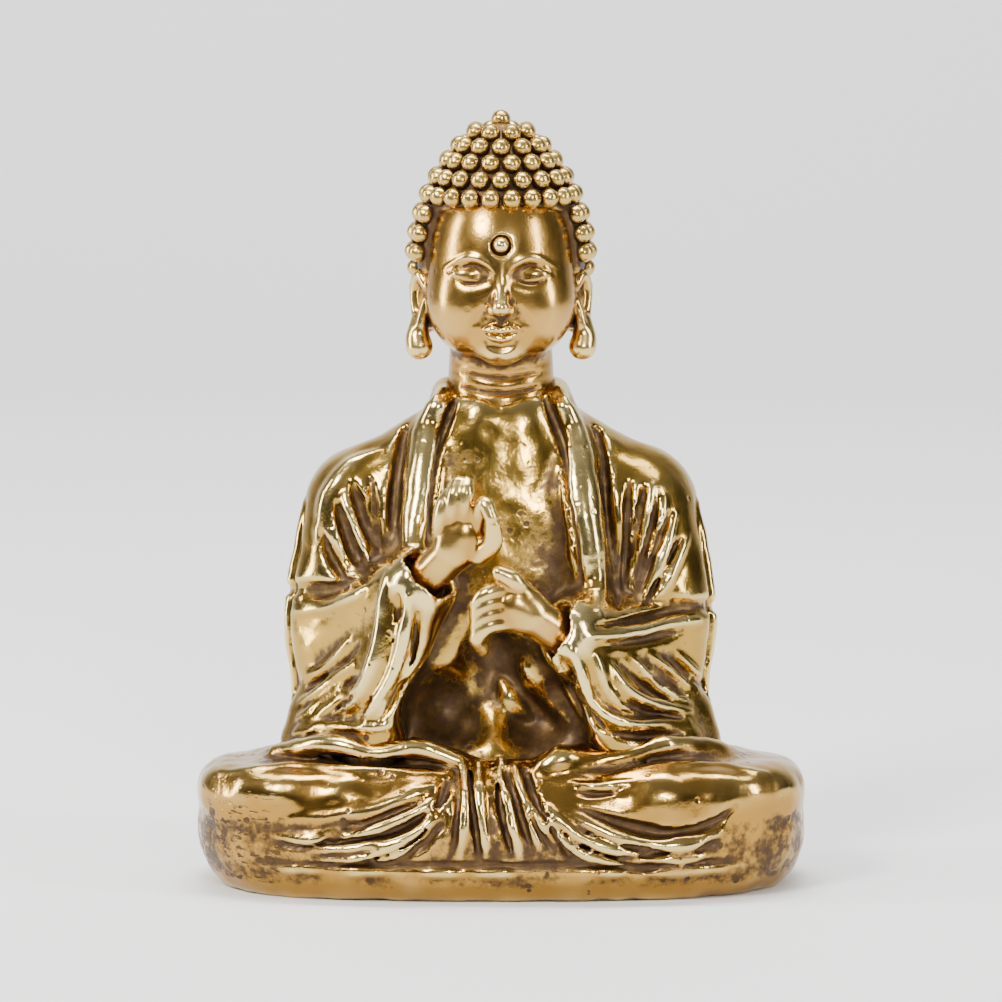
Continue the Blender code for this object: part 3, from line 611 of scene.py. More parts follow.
# %% Eyes and brows
EYE_X = 1.62  # how far each eye is from the middle of the face
for s in (-1, 1):
    head.cut(Ball((s * EYE_X, FACE - 0.3, EYE + 0.06), (1.2, 0.75, 0.66)), blend=0.5)
    head.add(Ball((s * EYE_X, FACE + 0.95, EYE - 0.06), (1.0, 0.66, 0.56)), blend=0.14)
    ridge(
        head,
        mirrored(s, [(0.35, BROW - 0.5), (0.8, BROW - 0.02), (1.7, BROW + 0.28), (2.9, BROW - 0.35)]),
        0.42,
        0.11,
        blend=0.1,
    )
    groove(
        head,
        mirrored(s, [(0.62, EYE - 0.1), (1.1, EYE - 0.36), (1.75, EYE - 0.44), (2.6, EYE - 0.1)]),
        0.2,
        0.13,
        blend=0.06,
    )
    groove(
        head,
        mirrored(s, [(0.62, EYE + 0.02), (1.1, EYE + 0.36), (1.75, EYE + 0.44), (2.75, EYE - 0.02)]),
        0.2,
        0.12,
        blend=0.06,
    )
    ridge(head, mirrored(s, [(0.8, EYE - 0.26), (1.6, EYE - 0.33), (2.4, EYE - 0.16)]), 0.22, 0.06, blend=0.05)

# %% Nose
head.add(
    Roll(
        [(0, FACE + 0.42, BROW - 0.15), (0, FACE + 0.12, BROW - 1.2), (0, FACE - 0.32, NOSE + 0.42)],
        [0.27, 0.34, 0.44],
    ),
    blend=0.3,
)
head.add(Ball((0, FACE - 0.36, NOSE + 0.36), (0.46, 0.46, 0.4)), blend=0.15)
head.add(Ball((0, FACE + 0.52, NOSE - 0.4), (0.75, 0.42, 0.5)), blend=0.3)
for s in (-1, 1):
    head.add(Ball((s * 0.5, FACE + 0.02, NOSE + 0.24), (0.3, 0.42, 0.29)), blend=0.14)
    head.cut(Ball((s * 0.24, FACE - 0.3, NOSE - 0.06), (0.13, 0.2, 0.12)), blend=0.06)

# %% Mouth and chin
UPPER_LIP = [(1.02, 0.42, 0.06), (0.42, 0.0, 0.2), (0.0, -0.02, 0.15)]
LOWER_LIP = [(0.85, 0.36, -0.1), (0.0, 0.02, -0.3)]
for half, radii in ((UPPER_LIP, [0.1, 0.22, 0.19, 0.22, 0.1]), (LOWER_LIP, [0.1, 0.28, 0.1])):
    lip = mirrored(-1, half) + half[-2::-1]
    head.add(Roll([(x, FACE + y, MOUTH + z) for x, y, z in lip], radii), blend=0.12)
groove(
    head,
    [(-1.15, MOUTH + 0.09), (-0.5, MOUTH - 0.03), (0, MOUTH - 0.08), (0.5, MOUTH - 0.03), (1.15, MOUTH + 0.09)],
    0.17,
    0.13,
    blend=0.05,
)
groove(head, [(0, NOSE - 0.2), (0, MOUTH + 0.4)], 0.34, 0.035, blend=0.2)
groove(head, [(-0.55, MOUTH - 0.68), (0, MOUTH - 0.76), (0.55, MOUTH - 0.68)], 0.5, 0.1, blend=0.25)
for s in (-1, 1):
    groove(head, mirrored(s, [(0.78, NOSE + 0.25), (1.1, NOSE - 0.2), (1.4, MOUTH + 0.45)]), 0.4, 0.06, blend=0.3)

# %% The dish that the bead between the brows sits in
URNA_SEAT = box_mm("urna_bead")[0][1] + 0.45  # how far forward the brow is there
head.cut(Ball((0, URNA_SEAT - 0.22, URNA[2]), (0.6, 0.52, 0.6)), blend=0.04)

# %% Ears and the lines of the neck
for s in (-1, 1):
    head.add(Ball((s * 3.65, 0.25, BROW - 2.2), (0.75, 0.85, 1.6)), blend=0.4)
    head.add(
        Roll(
            mirrored(
                s,
                [
                    (3.8, -0.75, BROW - 1.5), (4.15, -0.3, BROW - 0.95), (4.4, 0.2, BROW - 1.6),
                    (4.35, 0.05, BROW - 2.8), (4.2, -0.35, BROW - 3.6),
                ],
            ),
            [0.28, 0.32, 0.32, 0.3, 0.36],
        ),
        Roll(
            mirrored(s, [(3.85, -0.9, BROW - 2.2), (4.1, -0.95, BROW - 3.2), (4.2, -0.7, BROW - 4.0)]),
            [0.24, 0.26, 0.4],
        ),
        Roll(
            mirrored(s, [(4.2, -0.4, BROW - 3.3), (4.28, -0.6, BROW - 4.1), (4.2, -0.7, BROW - 4.6)]),
            [0.46, 0.62, 0.7],
        ),
        blend=0.14,
    )
    head.cut(Ball((s * 4.7, -0.42, BROW - 2.2), (0.42, 0.3, 0.62)), blend=0.12)
for rise in (0.0, -0.75):
    groove(head, [(-2.0, CHIN - 0.5 + rise), (0, CHIN - 0.75 + rise), (2.0, CHIN - 0.5 + rise)], 0.3, 0.1)
print("head's grid", head.field.shape)

# %% [markdown]
# ## The hair
#
# The hair is a cap of tight round curls over the skull and over the raised crown. The cap is a surface of revolution
# with a window for the face, and its curls are the same small bead, set in rows. Geometry Nodes put the beads on
# points, so one bead is modelled and hundreds are only turned and placed.

# %% The cap under the curls
CROWN = HAIR[1][2] - 0.5
HAIR_WIDEST = CHIN + 5.1
HAIR_HALF = 4.5
HAIR_Y, HAIR_DEEP = 0.7, 1.04  # the middle of the hair, and how much deeper than wide it is
CAP_DEPTH = 0.16  # how far the cap lies below the middles of its curls
TEMPLE_Y, EAR_BACK_Y, EAR_TOP = -1.2, 1.3, CHIN + 4.5
HAIRLINE = CHIN + 8.16


def hair_half(z):
    """Half of the cap's width at a height."""
    rise = np.clip((z - HAIR_WIDEST) / (CROWN - HAIR_WIDEST), 0.0, 1.0)
    fall = np.maximum(0.0, (HAIR_WIDEST - z) / 10.2)
    return HAIR_HALF * ((1 - rise**2) ** 0.75 - 0.6 * fall**1.5)


def hairline(x):
    return HAIRLINE - 1.3 * np.abs(x / HAIR_HALF) ** 3


class Cap:
    """The hair's gross form, open in front of the face and round the ears."""

    low, high = np.array([-5.0, -5.0, CHIN + 1.6]), np.array([5.0, 6.0, CROWN + 0.3])

    def distance(self, x, y, z):
        slope = (hair_half(z + 0.05) - hair_half(z - 0.05)) / 0.1
        beyond = np.sqrt(x**2 + ((y - HAIR_Y) / HAIR_DEEP) ** 2) - hair_half(z)
        dome = beyond / np.sqrt(1 + slope**2) + CAP_DEPTH
        nape = CHIN + 1.9 - z
        face = np.maximum(y - TEMPLE_Y, z - hairline(x))
        ears = np.maximum(y - EAR_BACK_Y, z - EAR_TOP)
        inside = np.maximum(dome, nape)
        return -soft_min(-inside, soft_min(face, ears, 0.2), 0.3)


cap = Wax((-5.2, -4.8, CHIN + 1.2), (5.2, 6.2, CROWN + 0.7), 0.12)
cap.add(Cap(), blend=0.1)
cap.smooth(2)


# %% Where the curls go
CURL_PITCH, ROW_PITCH, CURL_SIZE = 1.07, 0.98, 1.02


def hair_point(turn, z):
    half = float(hair_half(z))
    return np.array([half * math.cos(turn), HAIR_Y + half * HAIR_DEEP * math.sin(turn), z])


def bare(place):
    """Whether a curl there would stand on the face or on an ear."""
    margin = CURL_SIZE * 0.38
    on_face = place[1] < TEMPLE_Y + margin and place[2] < hairline(place[0]) + margin
    on_ear = place[1] < EAR_BACK_Y + margin and place[2] < EAR_TOP + margin
    return on_face or on_ear


rows = [HAIRLINE + CURL_SIZE * 0.42]
while rows[0] > CHIN + 2.6:
    rows.insert(0, rows[0] - ROW_PITCH)
while rows[-1] < CROWN - CURL_SIZE * 0.5:
    slope = float(hair_half(rows[-1]) - hair_half(rows[-1] + ROW_PITCH / 2))
    rows.append(rows[-1] + ROW_PITCH / math.hypot(1.0, 2 * slope / ROW_PITCH))
curl_places = [hair_point(0, CROWN) - (0, 0, 0.2)]
for row, z in enumerate(rows[:-1]):
    half_turn = math.pi
    while half_turn > 1.0 and bare(hair_point(math.pi / 2 + half_turn, z)):
        half_turn -= 0.02
    whole = half_turn >= math.pi
    count = max(3, round(2 * half_turn * float(hair_half(z)) / CURL_PITCH))
    for i in range(count if whole else count + 1):
        turn = math.pi / 2 - half_turn + 2 * half_turn * (i + (0.5 * (row % 2) if whole else 0)) / count
        curl_places.append(hair_point(turn, z))
print(len(curl_places), "curls in", len(rows), "rows")

# %% The points that carry the curls
curl_places = np.array(curl_places)
curl_out = curl_places - np.array([0, 0.5, HAIR_WIDEST - 1])
curl_out /= np.linalg.norm(curl_out, axis=1, keepdims=True)
sow = bpy.data.meshes.new("curl_points")
sow.from_pydata((curl_places * MM).tolist(), [], [])
sow.attributes.new("out", "FLOAT_VECTOR", "POINT").data.foreach_set("vector", curl_out.ravel())
hair_curls = new_piece("hair_curls", sow)

# %% [markdown]
# ## The hands
#
# Both hands are raised before the chest. The right one stands upright with its fingers together. The left one is lower
# and folds its fingers down. Each finger is a roll of wax through a root, a knuckle and a tip.

# %% Sculpt a hand
CHEST_Y = -3.8


def from_chest(points):
    """Places points from the front of the chest: across, forward, and up from the lap."""
    return [(across, CHEST_Y - forward, LAP + rise) for across, forward, rise in points]


def hand_wax(node, forearm, palm, palm_size, fingers, thumb):
    low, high = box_mm(node)
    wax = Wax(low - 1.0, high + 0.8, 0.08)
    wax.add(Roll(from_chest(forearm), [1.05, 1.0, 1.1]), Ball(*from_chest([palm]), palm_size), blend=0.5)
    for finger in fingers:
        wax.add(Roll(from_chest(finger), [0.48, 0.47, 0.45, 0.36]), blend=0.14)
    wax.add(Roll(from_chest(thumb), [0.58, 0.52, 0.4]), blend=0.16)
    return wax


# %% The right hand
# The thumb and the first finger close a ring. The other three fingers stand together.
right_hand = hand_wax(
    "right_hand",
    forearm=[(-4.9, 1.5, 7.7), (-4.0, 2.0, 8.9), (-2.5, 2.8, 10.6)],
    palm=(-2.0, 3.0, 11.5),
    palm_size=(1.35, 1.05, 1.5),
    fingers=[
        [(-2.95, 2.9, 11.3), (-3.0, 3.3, 12.3), (-2.85, 3.35, 13.1), (-2.62, 3.15, 13.6)],
        [(-2.4, 3.0, 11.5), (-2.45, 3.5, 12.6), (-2.33, 3.6, 13.6), (-2.18, 3.35, 14.2)],
        [(-1.85, 3.05, 11.5), (-1.85, 3.6, 12.7), (-1.78, 3.7, 13.7), (-1.72, 3.4, 14.2)],
        [(-1.3, 3.1, 11.4), (-1.1, 3.7, 12.6), (-0.8, 4.2, 13.2), (-0.5, 4.5, 12.6)],
    ],
    thumb=[(-1.1, 3.3, 10.5), (-0.45, 3.9, 11.2), (-0.42, 4.4, 12.2)],
)

# %% The left hand
# Its back is towards us and its fingers curl under. From each root the finger goes on by three steps.
FINGER_GAP = 0.56
FINGER_STEPS = [(-0.95, 0.35, -0.15), (-0.55, -0.2, -0.65), (0.25, -0.5, -0.65)]
left_fingers = [np.cumsum([(0.3, 3.6, 8.8 - FINGER_GAP * i), *FINGER_STEPS], axis=0) for i in range(4)]
left_hand = hand_wax(
    "left_hand",
    forearm=[(4.3, 1.9, 5.4), (3.2, 2.4, 6.2), (1.6, 3.1, 7.4)],
    palm=(0.75, 3.2, 7.9),
    palm_size=(1.35, 1.15, 1.4),
    fingers=left_fingers,
    thumb=[(1.1, 3.5, 8.6), (0.6, 3.9, 9.3), (-0.1, 4.0, 9.7)],
)

# %% [markdown]
# ## Where the polishing wheel reaches
#
# The founder blackens the whole casting and then polishes it. The wheel reaches whatever stands out, and the dark stays
# in the folds. How much metal lies round a place tells the two apart: half on a flat face, less on a ridge and more in a
# groove. So the metal is counted in three sizes of neighbourhood, from the width of a fold to that of the lap.

# %% Count the metal round each place
BROAD_WAVE, SHORT_WAVE = 1.7, 0.8
uneven = ((legs, 0.09), (body, 0.07), (head, 0.015), (right_hand, 0.02), (left_hand, 0.02))
for seed, (wax, amount) in enumerate(uneven, start=1):
    unsettle(wax, amount, BROAD_WAVE, seed)
    unsettle(wax, amount * 0.5, SHORT_WAVE, seed + 10)
waxes = {"legs": legs, "body": body, "head": head, "hair": cap, "right_hand": right_hand, "left_hand": left_hand}


def metal(wax):
    """A copy of a block with 1 in the metal and 0 in the air."""
    spread = Wax(wax.low, wax.low, wax.step)
    spread.axes = wax.axes
    spread.field = np.clip(0.5 - wax.field / wax.step, 0.0, 1.0).astype(np.float32)
    return spread


statue = Wax(np.array(cad_bounds[0]) / MM - 4.0, np.array(cad_bounds[1]) / MM + 4.0, 0.3)
for wax in waxes.values():
    spans = []
    for own, coarse in zip(wax.axes, statue.axes):
        inside = np.flatnonzero((coarse > own[0]) & (coarse < own[-1]))
        spans.append(slice(inside[0], inside[-1] + 1))
    grid = np.stack(np.meshgrid(*[a[s] for a, s in zip(statue.axes, spans)], indexing="ij"), axis=-1)
    values = wax.sample(grid.reshape(-1, 3)).reshape(grid.shape[:3])
    statue.field[tuple(spans)] = np.minimum(statue.field[tuple(spans)], values)
NEAR_PASSES, FAR_PASSES = 10, 70
FINE_REACH = 0.28  # the smallest neighbourhood, in millimetres
near_metal, far_metal = metal(statue), metal(statue)
near_metal.smooth(NEAR_PASSES)
far_metal.smooth(FAR_PASSES)
print("whole statue's grid", statue.field.shape)


# %% Cast the pieces and write the counts on them
def write_counts(mesh, wax):
    """Attributes from -1, on a sharp ridge, through 0, on a flat face, to 1, at the bottom of a pit."""
    places = points_mm(mesh)
    fine = metal(wax)
    fine.smooth(max(2, round(2 * (FINE_REACH / wax.step) ** 2)))
    for name, grid in (("fine", fine), ("near", near_metal), ("far", far_metal)):
        values = 2.0 * grid.sample(places) - 1.0
        mesh.attributes.new(name, "FLOAT", "POINT").data.foreach_set("value", values.astype(np.float32))
        print("  ", name, np.percentile(values, (2, 25, 50, 75, 98)).round(2))


pieces = {}
for name, wax in waxes.items():
    pieces[name] = cast(wax, "cap_under_curls" if name == "hair" else name + "_piece")
    write_counts(pieces[name].data, wax)

# %% [markdown]
# ## Setting the curls
#
# The tree instances one bead on every point and turns its top outwards. It adds the cap, makes everything real and
# gives it its material. The bead has few faces, because it is used so often. The turn of its spiral comes from the
# material, which reads the bead's own map.

# %% Two helpers for node trees
def feed(tree, node, inputs):
    """Gives each named input of a node a plain value or another node's output."""
    for name, given in dict(inputs).items():
        given = getattr(given, "socket", given)
        if isinstance(given, bpy.types.NodeSocket):
            tree.links.new(given, node.inputs[name])
        else:
            node.inputs[name].default_value = given
    return node


def made(tree, kind, inputs=(), **settings):
    """A new node of one kind, with its settings and then its inputs."""
    node = tree.nodes.new(kind)
    for name, value in settings.items():
        setattr(node, name, value)
    return feed(tree, node, inputs)


# %% The tree that sets the curls
def curl_tree():
    tree = bpy.data.node_groups.new("set_curls", "GeometryNodeTree")
    face = tree.interface
    for label, kind in (("Points", "Geometry"), ("Cap", "Object"), ("Curl size", "Float"), ("Finish", "Material")):
        face.new_socket(label, in_out="INPUT", socket_type="NodeSocket" + kind)
    face.new_socket("Hair", in_out="OUTPUT", socket_type="NodeSocketGeometry")
    given = tree.nodes.new("NodeGroupInput").outputs
    half = made(tree, "ShaderNodeMath", {0: given["Curl size"], 1: 0.5}, operation="MULTIPLY")
    bead = made(tree, "GeometryNodeMeshUVSphere", {"Segments": 12, "Rings": 8, "Radius": half.outputs[0]})
    keep_map = made(tree, "GeometryNodeStoreNamedAttribute", data_type="FLOAT2", domain="CORNER")
    feed(tree, keep_map, {"Geometry": bead.outputs["Mesh"], "Name": "curl_map", "Value": bead.outputs["UV Map"]})
    out = made(tree, "GeometryNodeInputNamedAttribute", {"Name": "out"}, data_type="FLOAT_VECTOR")
    turn = made(tree, "FunctionNodeAlignRotationToVector", {"Vector": out.outputs["Attribute"]}, axis="Z")
    place = made(tree, "GeometryNodeInstanceOnPoints", {"Points": given["Points"]})
    feed(tree, place, {"Instance": keep_map.outputs["Geometry"], "Rotation": turn.outputs["Rotation"]})
    cap_info = made(tree, "GeometryNodeObjectInfo", {"Object": given["Cap"]})
    join = tree.nodes.new("GeometryNodeJoinGeometry")
    for part in (cap_info.outputs["Geometry"], place.outputs["Instances"]):
        tree.links.new(part, join.inputs[0])
    real = made(tree, "GeometryNodeRealizeInstances", {"Geometry": join.outputs["Geometry"]})
    smooth = made(tree, "GeometryNodeSetShadeSmooth", {"Geometry": real.outputs["Geometry"]})
    finish = made(tree, "GeometryNodeSetMaterial", {"Geometry": smooth.outputs["Geometry"]})
    feed(tree, finish, {"Material": given["Finish"]})
    made(tree, "NodeGroupOutput", {"Hair": finish.outputs["Geometry"]})
    return tree, {item.name: item.identifier for item in face.items_tree if item.in_out == "INPUT"}


# %% Run it and keep a plain mesh
hair_brass = bpy.data.materials.new("hair_brass")
tree, socket = curl_tree()
setter = hair_curls.modifiers.new("set_curls", "NODES")
setter.node_group = tree
setter[socket["Cap"]] = pieces["hair"]
setter[socket["Curl size"]] = CURL_SIZE * MM
setter[socket["Finish"]] = hair_brass
graph = bpy.context.evaluated_depsgraph_get()
hair_mesh = bpy.data.meshes.new_from_object(hair_curls.evaluated_get(graph))
hair_curls.modifiers.clear()
bpy.data.objects.remove(hair_curls)
bpy.data.objects.remove(pieces["hair"])
pieces["hair"] = new_piece("hair_piece", hair_mesh)
print("hair has", len(hair_mesh.polygons), "faces and", [a.name for a in hair_mesh.attributes])

# %% Count the metal round the curls
for middle in curl_places:
    cap.add(Ball(middle, CURL_SIZE / 2), blend=0.05)
for old in ("fine", "near", "far"):
    hair_mesh.attributes.remove(hair_mesh.attributes[old])
write_counts(hair_mesh, cap)

# %% [markdown]
# ## The bead between the brows
#
# It is turned, not modelled: a small domed boss with a collar, on the end of its peg.

# %% Turn the bead
def turned(name, profile, middle, steps=24):
    """Spins a profile of (radius, forward) points round the Y axis."""
    bm = bmesh.new()
    x, y, z = middle
    edge = [bm.verts.new(((x + r) * MM, (y - f) * MM, z * MM)) for r, f in profile]
    edges = [bm.edges.new(pair) for pair in zip(edge, edge[1:])]
    centre = [c * MM for c in middle]
    bmesh.ops.spin(bm, geom=edge + edges, cent=centre, axis=(0, 1, 0), angle=2 * math.pi, steps=steps)
    bmesh.ops.remove_doubles(bm, verts=bm.verts, dist=0.005 * MM)
    bmesh.ops.recalc_face_normals(bm, faces=bm.faces)
    mesh = bpy.data.meshes.new(name)
    bm.to_mesh(mesh)
    bm.free()
    mesh.shade_smooth()
    return new_piece(name, mesh)


dome = [(0.38 * math.cos(a), 0.12 + 0.36 * math.sin(a)) for a in np.linspace(math.pi / 2, 0.25, 7)]
dome[0] = (0.0, dome[0][1])
collar = [(0.4, 0.1), (0.43, 0.03), (0.4, -0.05)]
peg = [(0.25, -0.1), (0.25, -0.9), (0.0, -0.95)]
pieces["urna"] = turned("urna_piece", dome + collar + peg, (0.0, URNA_SEAT, URNA[2]))

# %% [markdown]
# ## Finishes
# For the legs and the curls the darkness also holds a painted shade, which the mask paints like the patina.
#
# One shader group makes the patina, because the robe, the skin and the hair all wear it, only more or less of it.
# It reads the three counts and some noise. Its mask is 1 where the dark stays. A second group adds the pits and the
# fine grain that a casting keeps even when it is polished.
#
# Long chains of Math nodes are hard to read. So a node's output is wrapped in a small class that can be added,
# subtracted and multiplied like a number, and each sign makes one Math node.

# %% Sums of shader values
class Value:
    """The output of a node in a shader tree, which behaves like a number."""

    def __init__(self, tree, socket):
        self.tree, self.socket = tree, socket

    def __add__(self, other):
        return maths("ADD", self, other)

    def __sub__(self, other):
        return maths("SUBTRACT", self, other)

    def __mul__(self, other):
        return maths("MULTIPLY", self, other)

    def less_from(self, whole):
        """What is left of a whole when this is taken from it."""
        node = made(self.tree, "ShaderNodeMath", {0: whole, 1: self}, operation="SUBTRACT")
        return Value(self.tree, node.outputs[0])


def maths(operation, first, second=0.0, clamp=False):
    node = made(first.tree, "ShaderNodeMath", {0: first, 1: second}, operation=operation, use_clamp=clamp)
    return Value(first.tree, node.outputs[0])


def ramp(value, low, high):
    """0 below low, 1 above high, and smooth between them."""
    inputs = {"Value": value, "From Min": low, "From Max": high}
    node = made(value.tree, "ShaderNodeMapRange", inputs, interpolation_type="SMOOTHSTEP")
    return Value(value.tree, node.outputs["Result"])


# %% What a shader reads: noise, the counts and the place
def noise(tree, place, scale, detail=3.0, roughness=0.55):
    inputs = {"Vector": place, "Scale": scale, "Detail": detail, "Roughness": roughness}
    return Value(tree, made(tree, "ShaderNodeTexNoise", inputs).outputs["Fac"])


def attribute(tree, name):
    return made(tree, "ShaderNodeAttribute", attribute_name=name).outputs


def axes_of(tree, vector):
    """The X, Y and Z of a vector, each as a value."""
    return [Value(tree, output) for output in made(tree, "ShaderNodeSeparateXYZ", {0: vector}).outputs]


def object_place(tree):
    return tree.nodes.new("ShaderNodeTexCoord").outputs["Object"]


def mixed(tree, factor, a, b):
    inputs = {"Factor": factor, "A": a, "B": b}
    return made(tree, "ShaderNodeMix", inputs, data_type="RGBA").outputs["Result"]


# %% An empty group with named inputs and outputs
FLOAT, COLOR, VECTOR = "NodeSocketFloat", "NodeSocketColor", "NodeSocketVector"
# The third colour is the patina's dark, and the painted shade on the legs and the curls is painted in it too.
BRASS, RUBBED, STAIN_AND_PAINTED_SHADE = (0.42, 0.255, 0.05, 1), (0.8, 0.63, 0.26, 1), (0.055, 0.029, 0.012, 1)
GROOVE = 2.3  # how strongly a narrow groove holds the dark


def new_group(name, inputs, outputs):
    tree = bpy.data.node_groups.new(name, "ShaderNodeTree")
    for label, kind, start in inputs:
        socket = tree.interface.new_socket(label, in_out="INPUT", socket_type=kind)
        if start is not None:
            socket.default_value = start
    for label, kind in outputs:
        tree.interface.new_socket(label, in_out="OUTPUT", socket_type=kind)
    return tree, tree.nodes.new("NodeGroupInput").outputs


# %% The patina group
def patina_group():
    settings = [
        ("Place", VECTOR, None), ("Darkness", FLOAT, 0.0), ("Polish", FLOAT, 0.2), ("Groove", FLOAT, GROOVE)
    ]
    colors = [("Brass", COLOR, BRASS), ("Rubbed", COLOR, RUBBED), ("Stain and painted shade", COLOR, STAIN_AND_PAINTED_SHADE)]
    results = [("Color", COLOR), ("Roughness", FLOAT), ("Metallic", FLOAT)]
    tree, given = new_group("patina", settings + colors, results)
    place = given["Place"]
    fine, near, far = (Value(tree, attribute(tree, name)["Fac"]) for name in ("fine", "near", "far"))
    cloudy = noise(tree, place, 420.0, 4.0) - 0.5
    speckle = noise(tree, place, 2600.0) - 0.5
    # Darkness also brings in painted shade, so this mask paints both the real patina and that shade.
    hollow = fine * given["Groove"] + near * 1.1 + far * 1.3 + cloudy * 1.2 + speckle * 1.2 + given["Darkness"]
    worn = noise(tree, place, 1500.0, 4.0, 0.65) * 0.6 + 0.66
    mask = maths("MULTIPLY", ramp(hollow, 0.0, 0.5), worn, clamp=True)
    raised = ramp((fine + near) * -1.0, 0.1, 0.7)
    color = mixed(tree, mask, mixed(tree, raised, given["Brass"], given["Rubbed"]), given["Stain and painted shade"])
    smear = noise(tree, place, 900.0) * 0.14
    rough = maths("ADD", smear + given["Polish"], mask * 0.25, clamp=True)
    metallic = (mask * 0.25).less_from(1.0)
    made(tree, "NodeGroupOutput", {"Color": color, "Roughness": rough, "Metallic": metallic})
    return tree


# %% The casting group
def casting_group():
    """The height of the skin of a casting: fine grain, shallow dents and a few pits."""
    settings = [("Place", VECTOR, None), ("Grain", FLOAT, 0.3), ("Pits", FLOAT, 0.5)]
    tree, given = new_group("casting_skin", settings, [("Height", FLOAT), ("Pits", FLOAT)])
    place = given["Place"]
    grain = noise(tree, place, 5200.0, 3.0, 0.6) * given["Grain"]
    dents = noise(tree, place, 700.0, 2.0) * 0.9
    cells = made(tree, "ShaderNodeTexVoronoi", {"Scale": 1250.0, "Vector": place})
    patch = ramp(noise(tree, place, 260.0, 2.0), 0.52, 0.62)
    pit = ramp(Value(tree, cells.outputs["Distance"]), 0.1, 0.26).less_from(1.0) * patch * given["Pits"]
    made(tree, "NodeGroupOutput", {"Height": grain + dents - pit * 1.6, "Pits": pit})
    return tree


PATINA, CASTING = patina_group(), casting_group()


# %% The brass of each piece
def new_material(name):
    material = bpy.data.materials.new(name)
    material.use_nodes = True
    return material


def brass_material(
    material, darkness, polish, grain=0.3, pits=0.6, bump=0.03, brass=BRASS, rubbed=RUBBED, groove=GROOVE,
    relief=None, wear=None, shade=None,
):
    """The patina over the casting's skin. relief, wear and shade add to its height, its damage and its dark; shade is a
    painted shade.
    """
    material.use_nodes = True
    tree = material.node_tree
    place = object_place(tree)
    skin = made(tree, "ShaderNodeGroup", node_tree=CASTING)
    feed(tree, skin, {"Place": place, "Grain": grain, "Pits": pits})
    height = Value(tree, skin.outputs["Height"])
    darker = Value(tree, skin.outputs["Pits"]) * 1.2
    if wear:
        worn = wear(tree, place)
        darker, height = darker + worn * 0.9, height - worn * 0.9
    # The painted shade is added to the patina's dark here and takes the same dark colour.
    if shade:
        darker = darker + shade(tree, place)
    if relief:
        height = height + relief(tree)
    patina = made(tree, "ShaderNodeGroup", node_tree=PATINA)
    feed(tree, patina, {"Place": place, "Darkness": darker + darkness, "Polish": polish, "Groove": groove})
    feed(tree, patina, {"Brass": brass, "Rubbed": rubbed})
    bumps = made(tree, "ShaderNodeBump", {"Strength": 0.6, "Distance": bump * MM, "Height": height})
    surface = feed(tree, tree.nodes["Principled BSDF"], {"Normal": bumps.outputs["Normal"]})
    looks = patina.outputs
    feed(
        tree,
        surface,
        {"Base Color": looks["Color"], "Roughness": looks["Roughness"], "Metallic": looks["Metallic"]},
    )
    return material


# %% The spiral on each curl, and the painted shade between the curls and low on each
def curl_map(tree):
    """How far round a bead and how far up it a place is, each from 0 to 1, as the bead's own map has it."""
    return axes_of(tree, attribute(tree, "curl_map")["Vector"])[:2]


def spiral_height(tree):
    """A groove that winds round each bead from its rim to its top."""
    round_it, up_it = curl_map(tree)
    return maths("SINE", (round_it + up_it * 4.0) * (2 * math.pi)) * 0.35


def curl_painted_shade(tree, place):
    """Painted shade on the cap between the beads and low on each bead, and none on the bead's lit top."""
    return ramp(curl_map(tree)[1], 0.56, 0.92).less_from(1.0) * 0.75


# %% Scratches and knocks on the right knee
KNOCKED = (-13.2, -5.2, 3.3)


def knocks(tree, place):
    """1 in short crossed scratches and small chips, near the knee that gets rubbed on the shelf."""
    away = made(tree, "ShaderNodeVectorMath", {0: place, 1: [c * MM for c in KNOCKED]}, operation="DISTANCE")
    here = ramp(Value(tree, away.outputs["Value"]), 1.2 * MM, 4.2 * MM).less_from(1.0)
    marked = ramp(noise(tree, place, 1100.0, 1.0), 0.66, 0.7)
    for turn in (0.6, -0.7):
        inputs = {"Rotation": (0, turn, 0), "Scale": (0.22, 1.0, 1.6), "Vector": place}
        mapping = made(tree, "ShaderNodeMapping", inputs).outputs["Vector"]
        marked = maths("MAXIMUM", marked, ramp(noise(tree, mapping, 2300.0, 1.0), 0.62, 0.68))
    return marked * here


# %% The painted shade low on the legs
def low_painted_shade(tree, place):
    """Painted shade towards the foot, at the ends of the knees and in the fan of folds.

    These are the places that the light reaches least.
    """
    x, y, z = axes_of(tree, place)
    sideways = maths("ABSOLUTE", x)
    low = ramp(z, 1.2 * MM, 6.2 * MM).less_from(1.0)
    foot = ramp(z, 0.3 * MM, 1.0 * MM)
    outer = ramp(sideways, 6.0 * MM, 14.0 * MM)
    inner = ramp(sideways, 7.0 * MM, 11.0 * MM).less_from(1.0)
    above_hem = ramp(z, 1.9 * MM, 2.5 * MM)
    under_edge = ramp(z, 4.6 * MM, 6.4 * MM).less_from(1.0)
    return low * foot * (outer * 0.3 + 0.7) + inner * above_hem * under_edge * 0.35


# %% Make the finishes
robe_brass = brass_material(new_material("robe_brass"), 0.0, 0.11, bump=0.05)
# The legs' patina also holds a painted shade: darker low down, at the ends of the knees and in the fan.
legs_brass = brass_material(
    new_material("legs_brass"), -0.05, 0.11, pits=1.0, bump=0.045, brass=(0.36, 0.195, 0.04, 1),
    rubbed=(0.7, 0.52, 0.19, 1), wear=knocks, shade=low_painted_shade,
)
skin_brass = brass_material(
    new_material("skin_brass"), -0.2, 0.16, grain=0.25, pits=0.3, bump=0.045, brass=(0.44, 0.245, 0.055, 1),
    rubbed=(0.72, 0.52, 0.18, 1), groove=3.4,
)
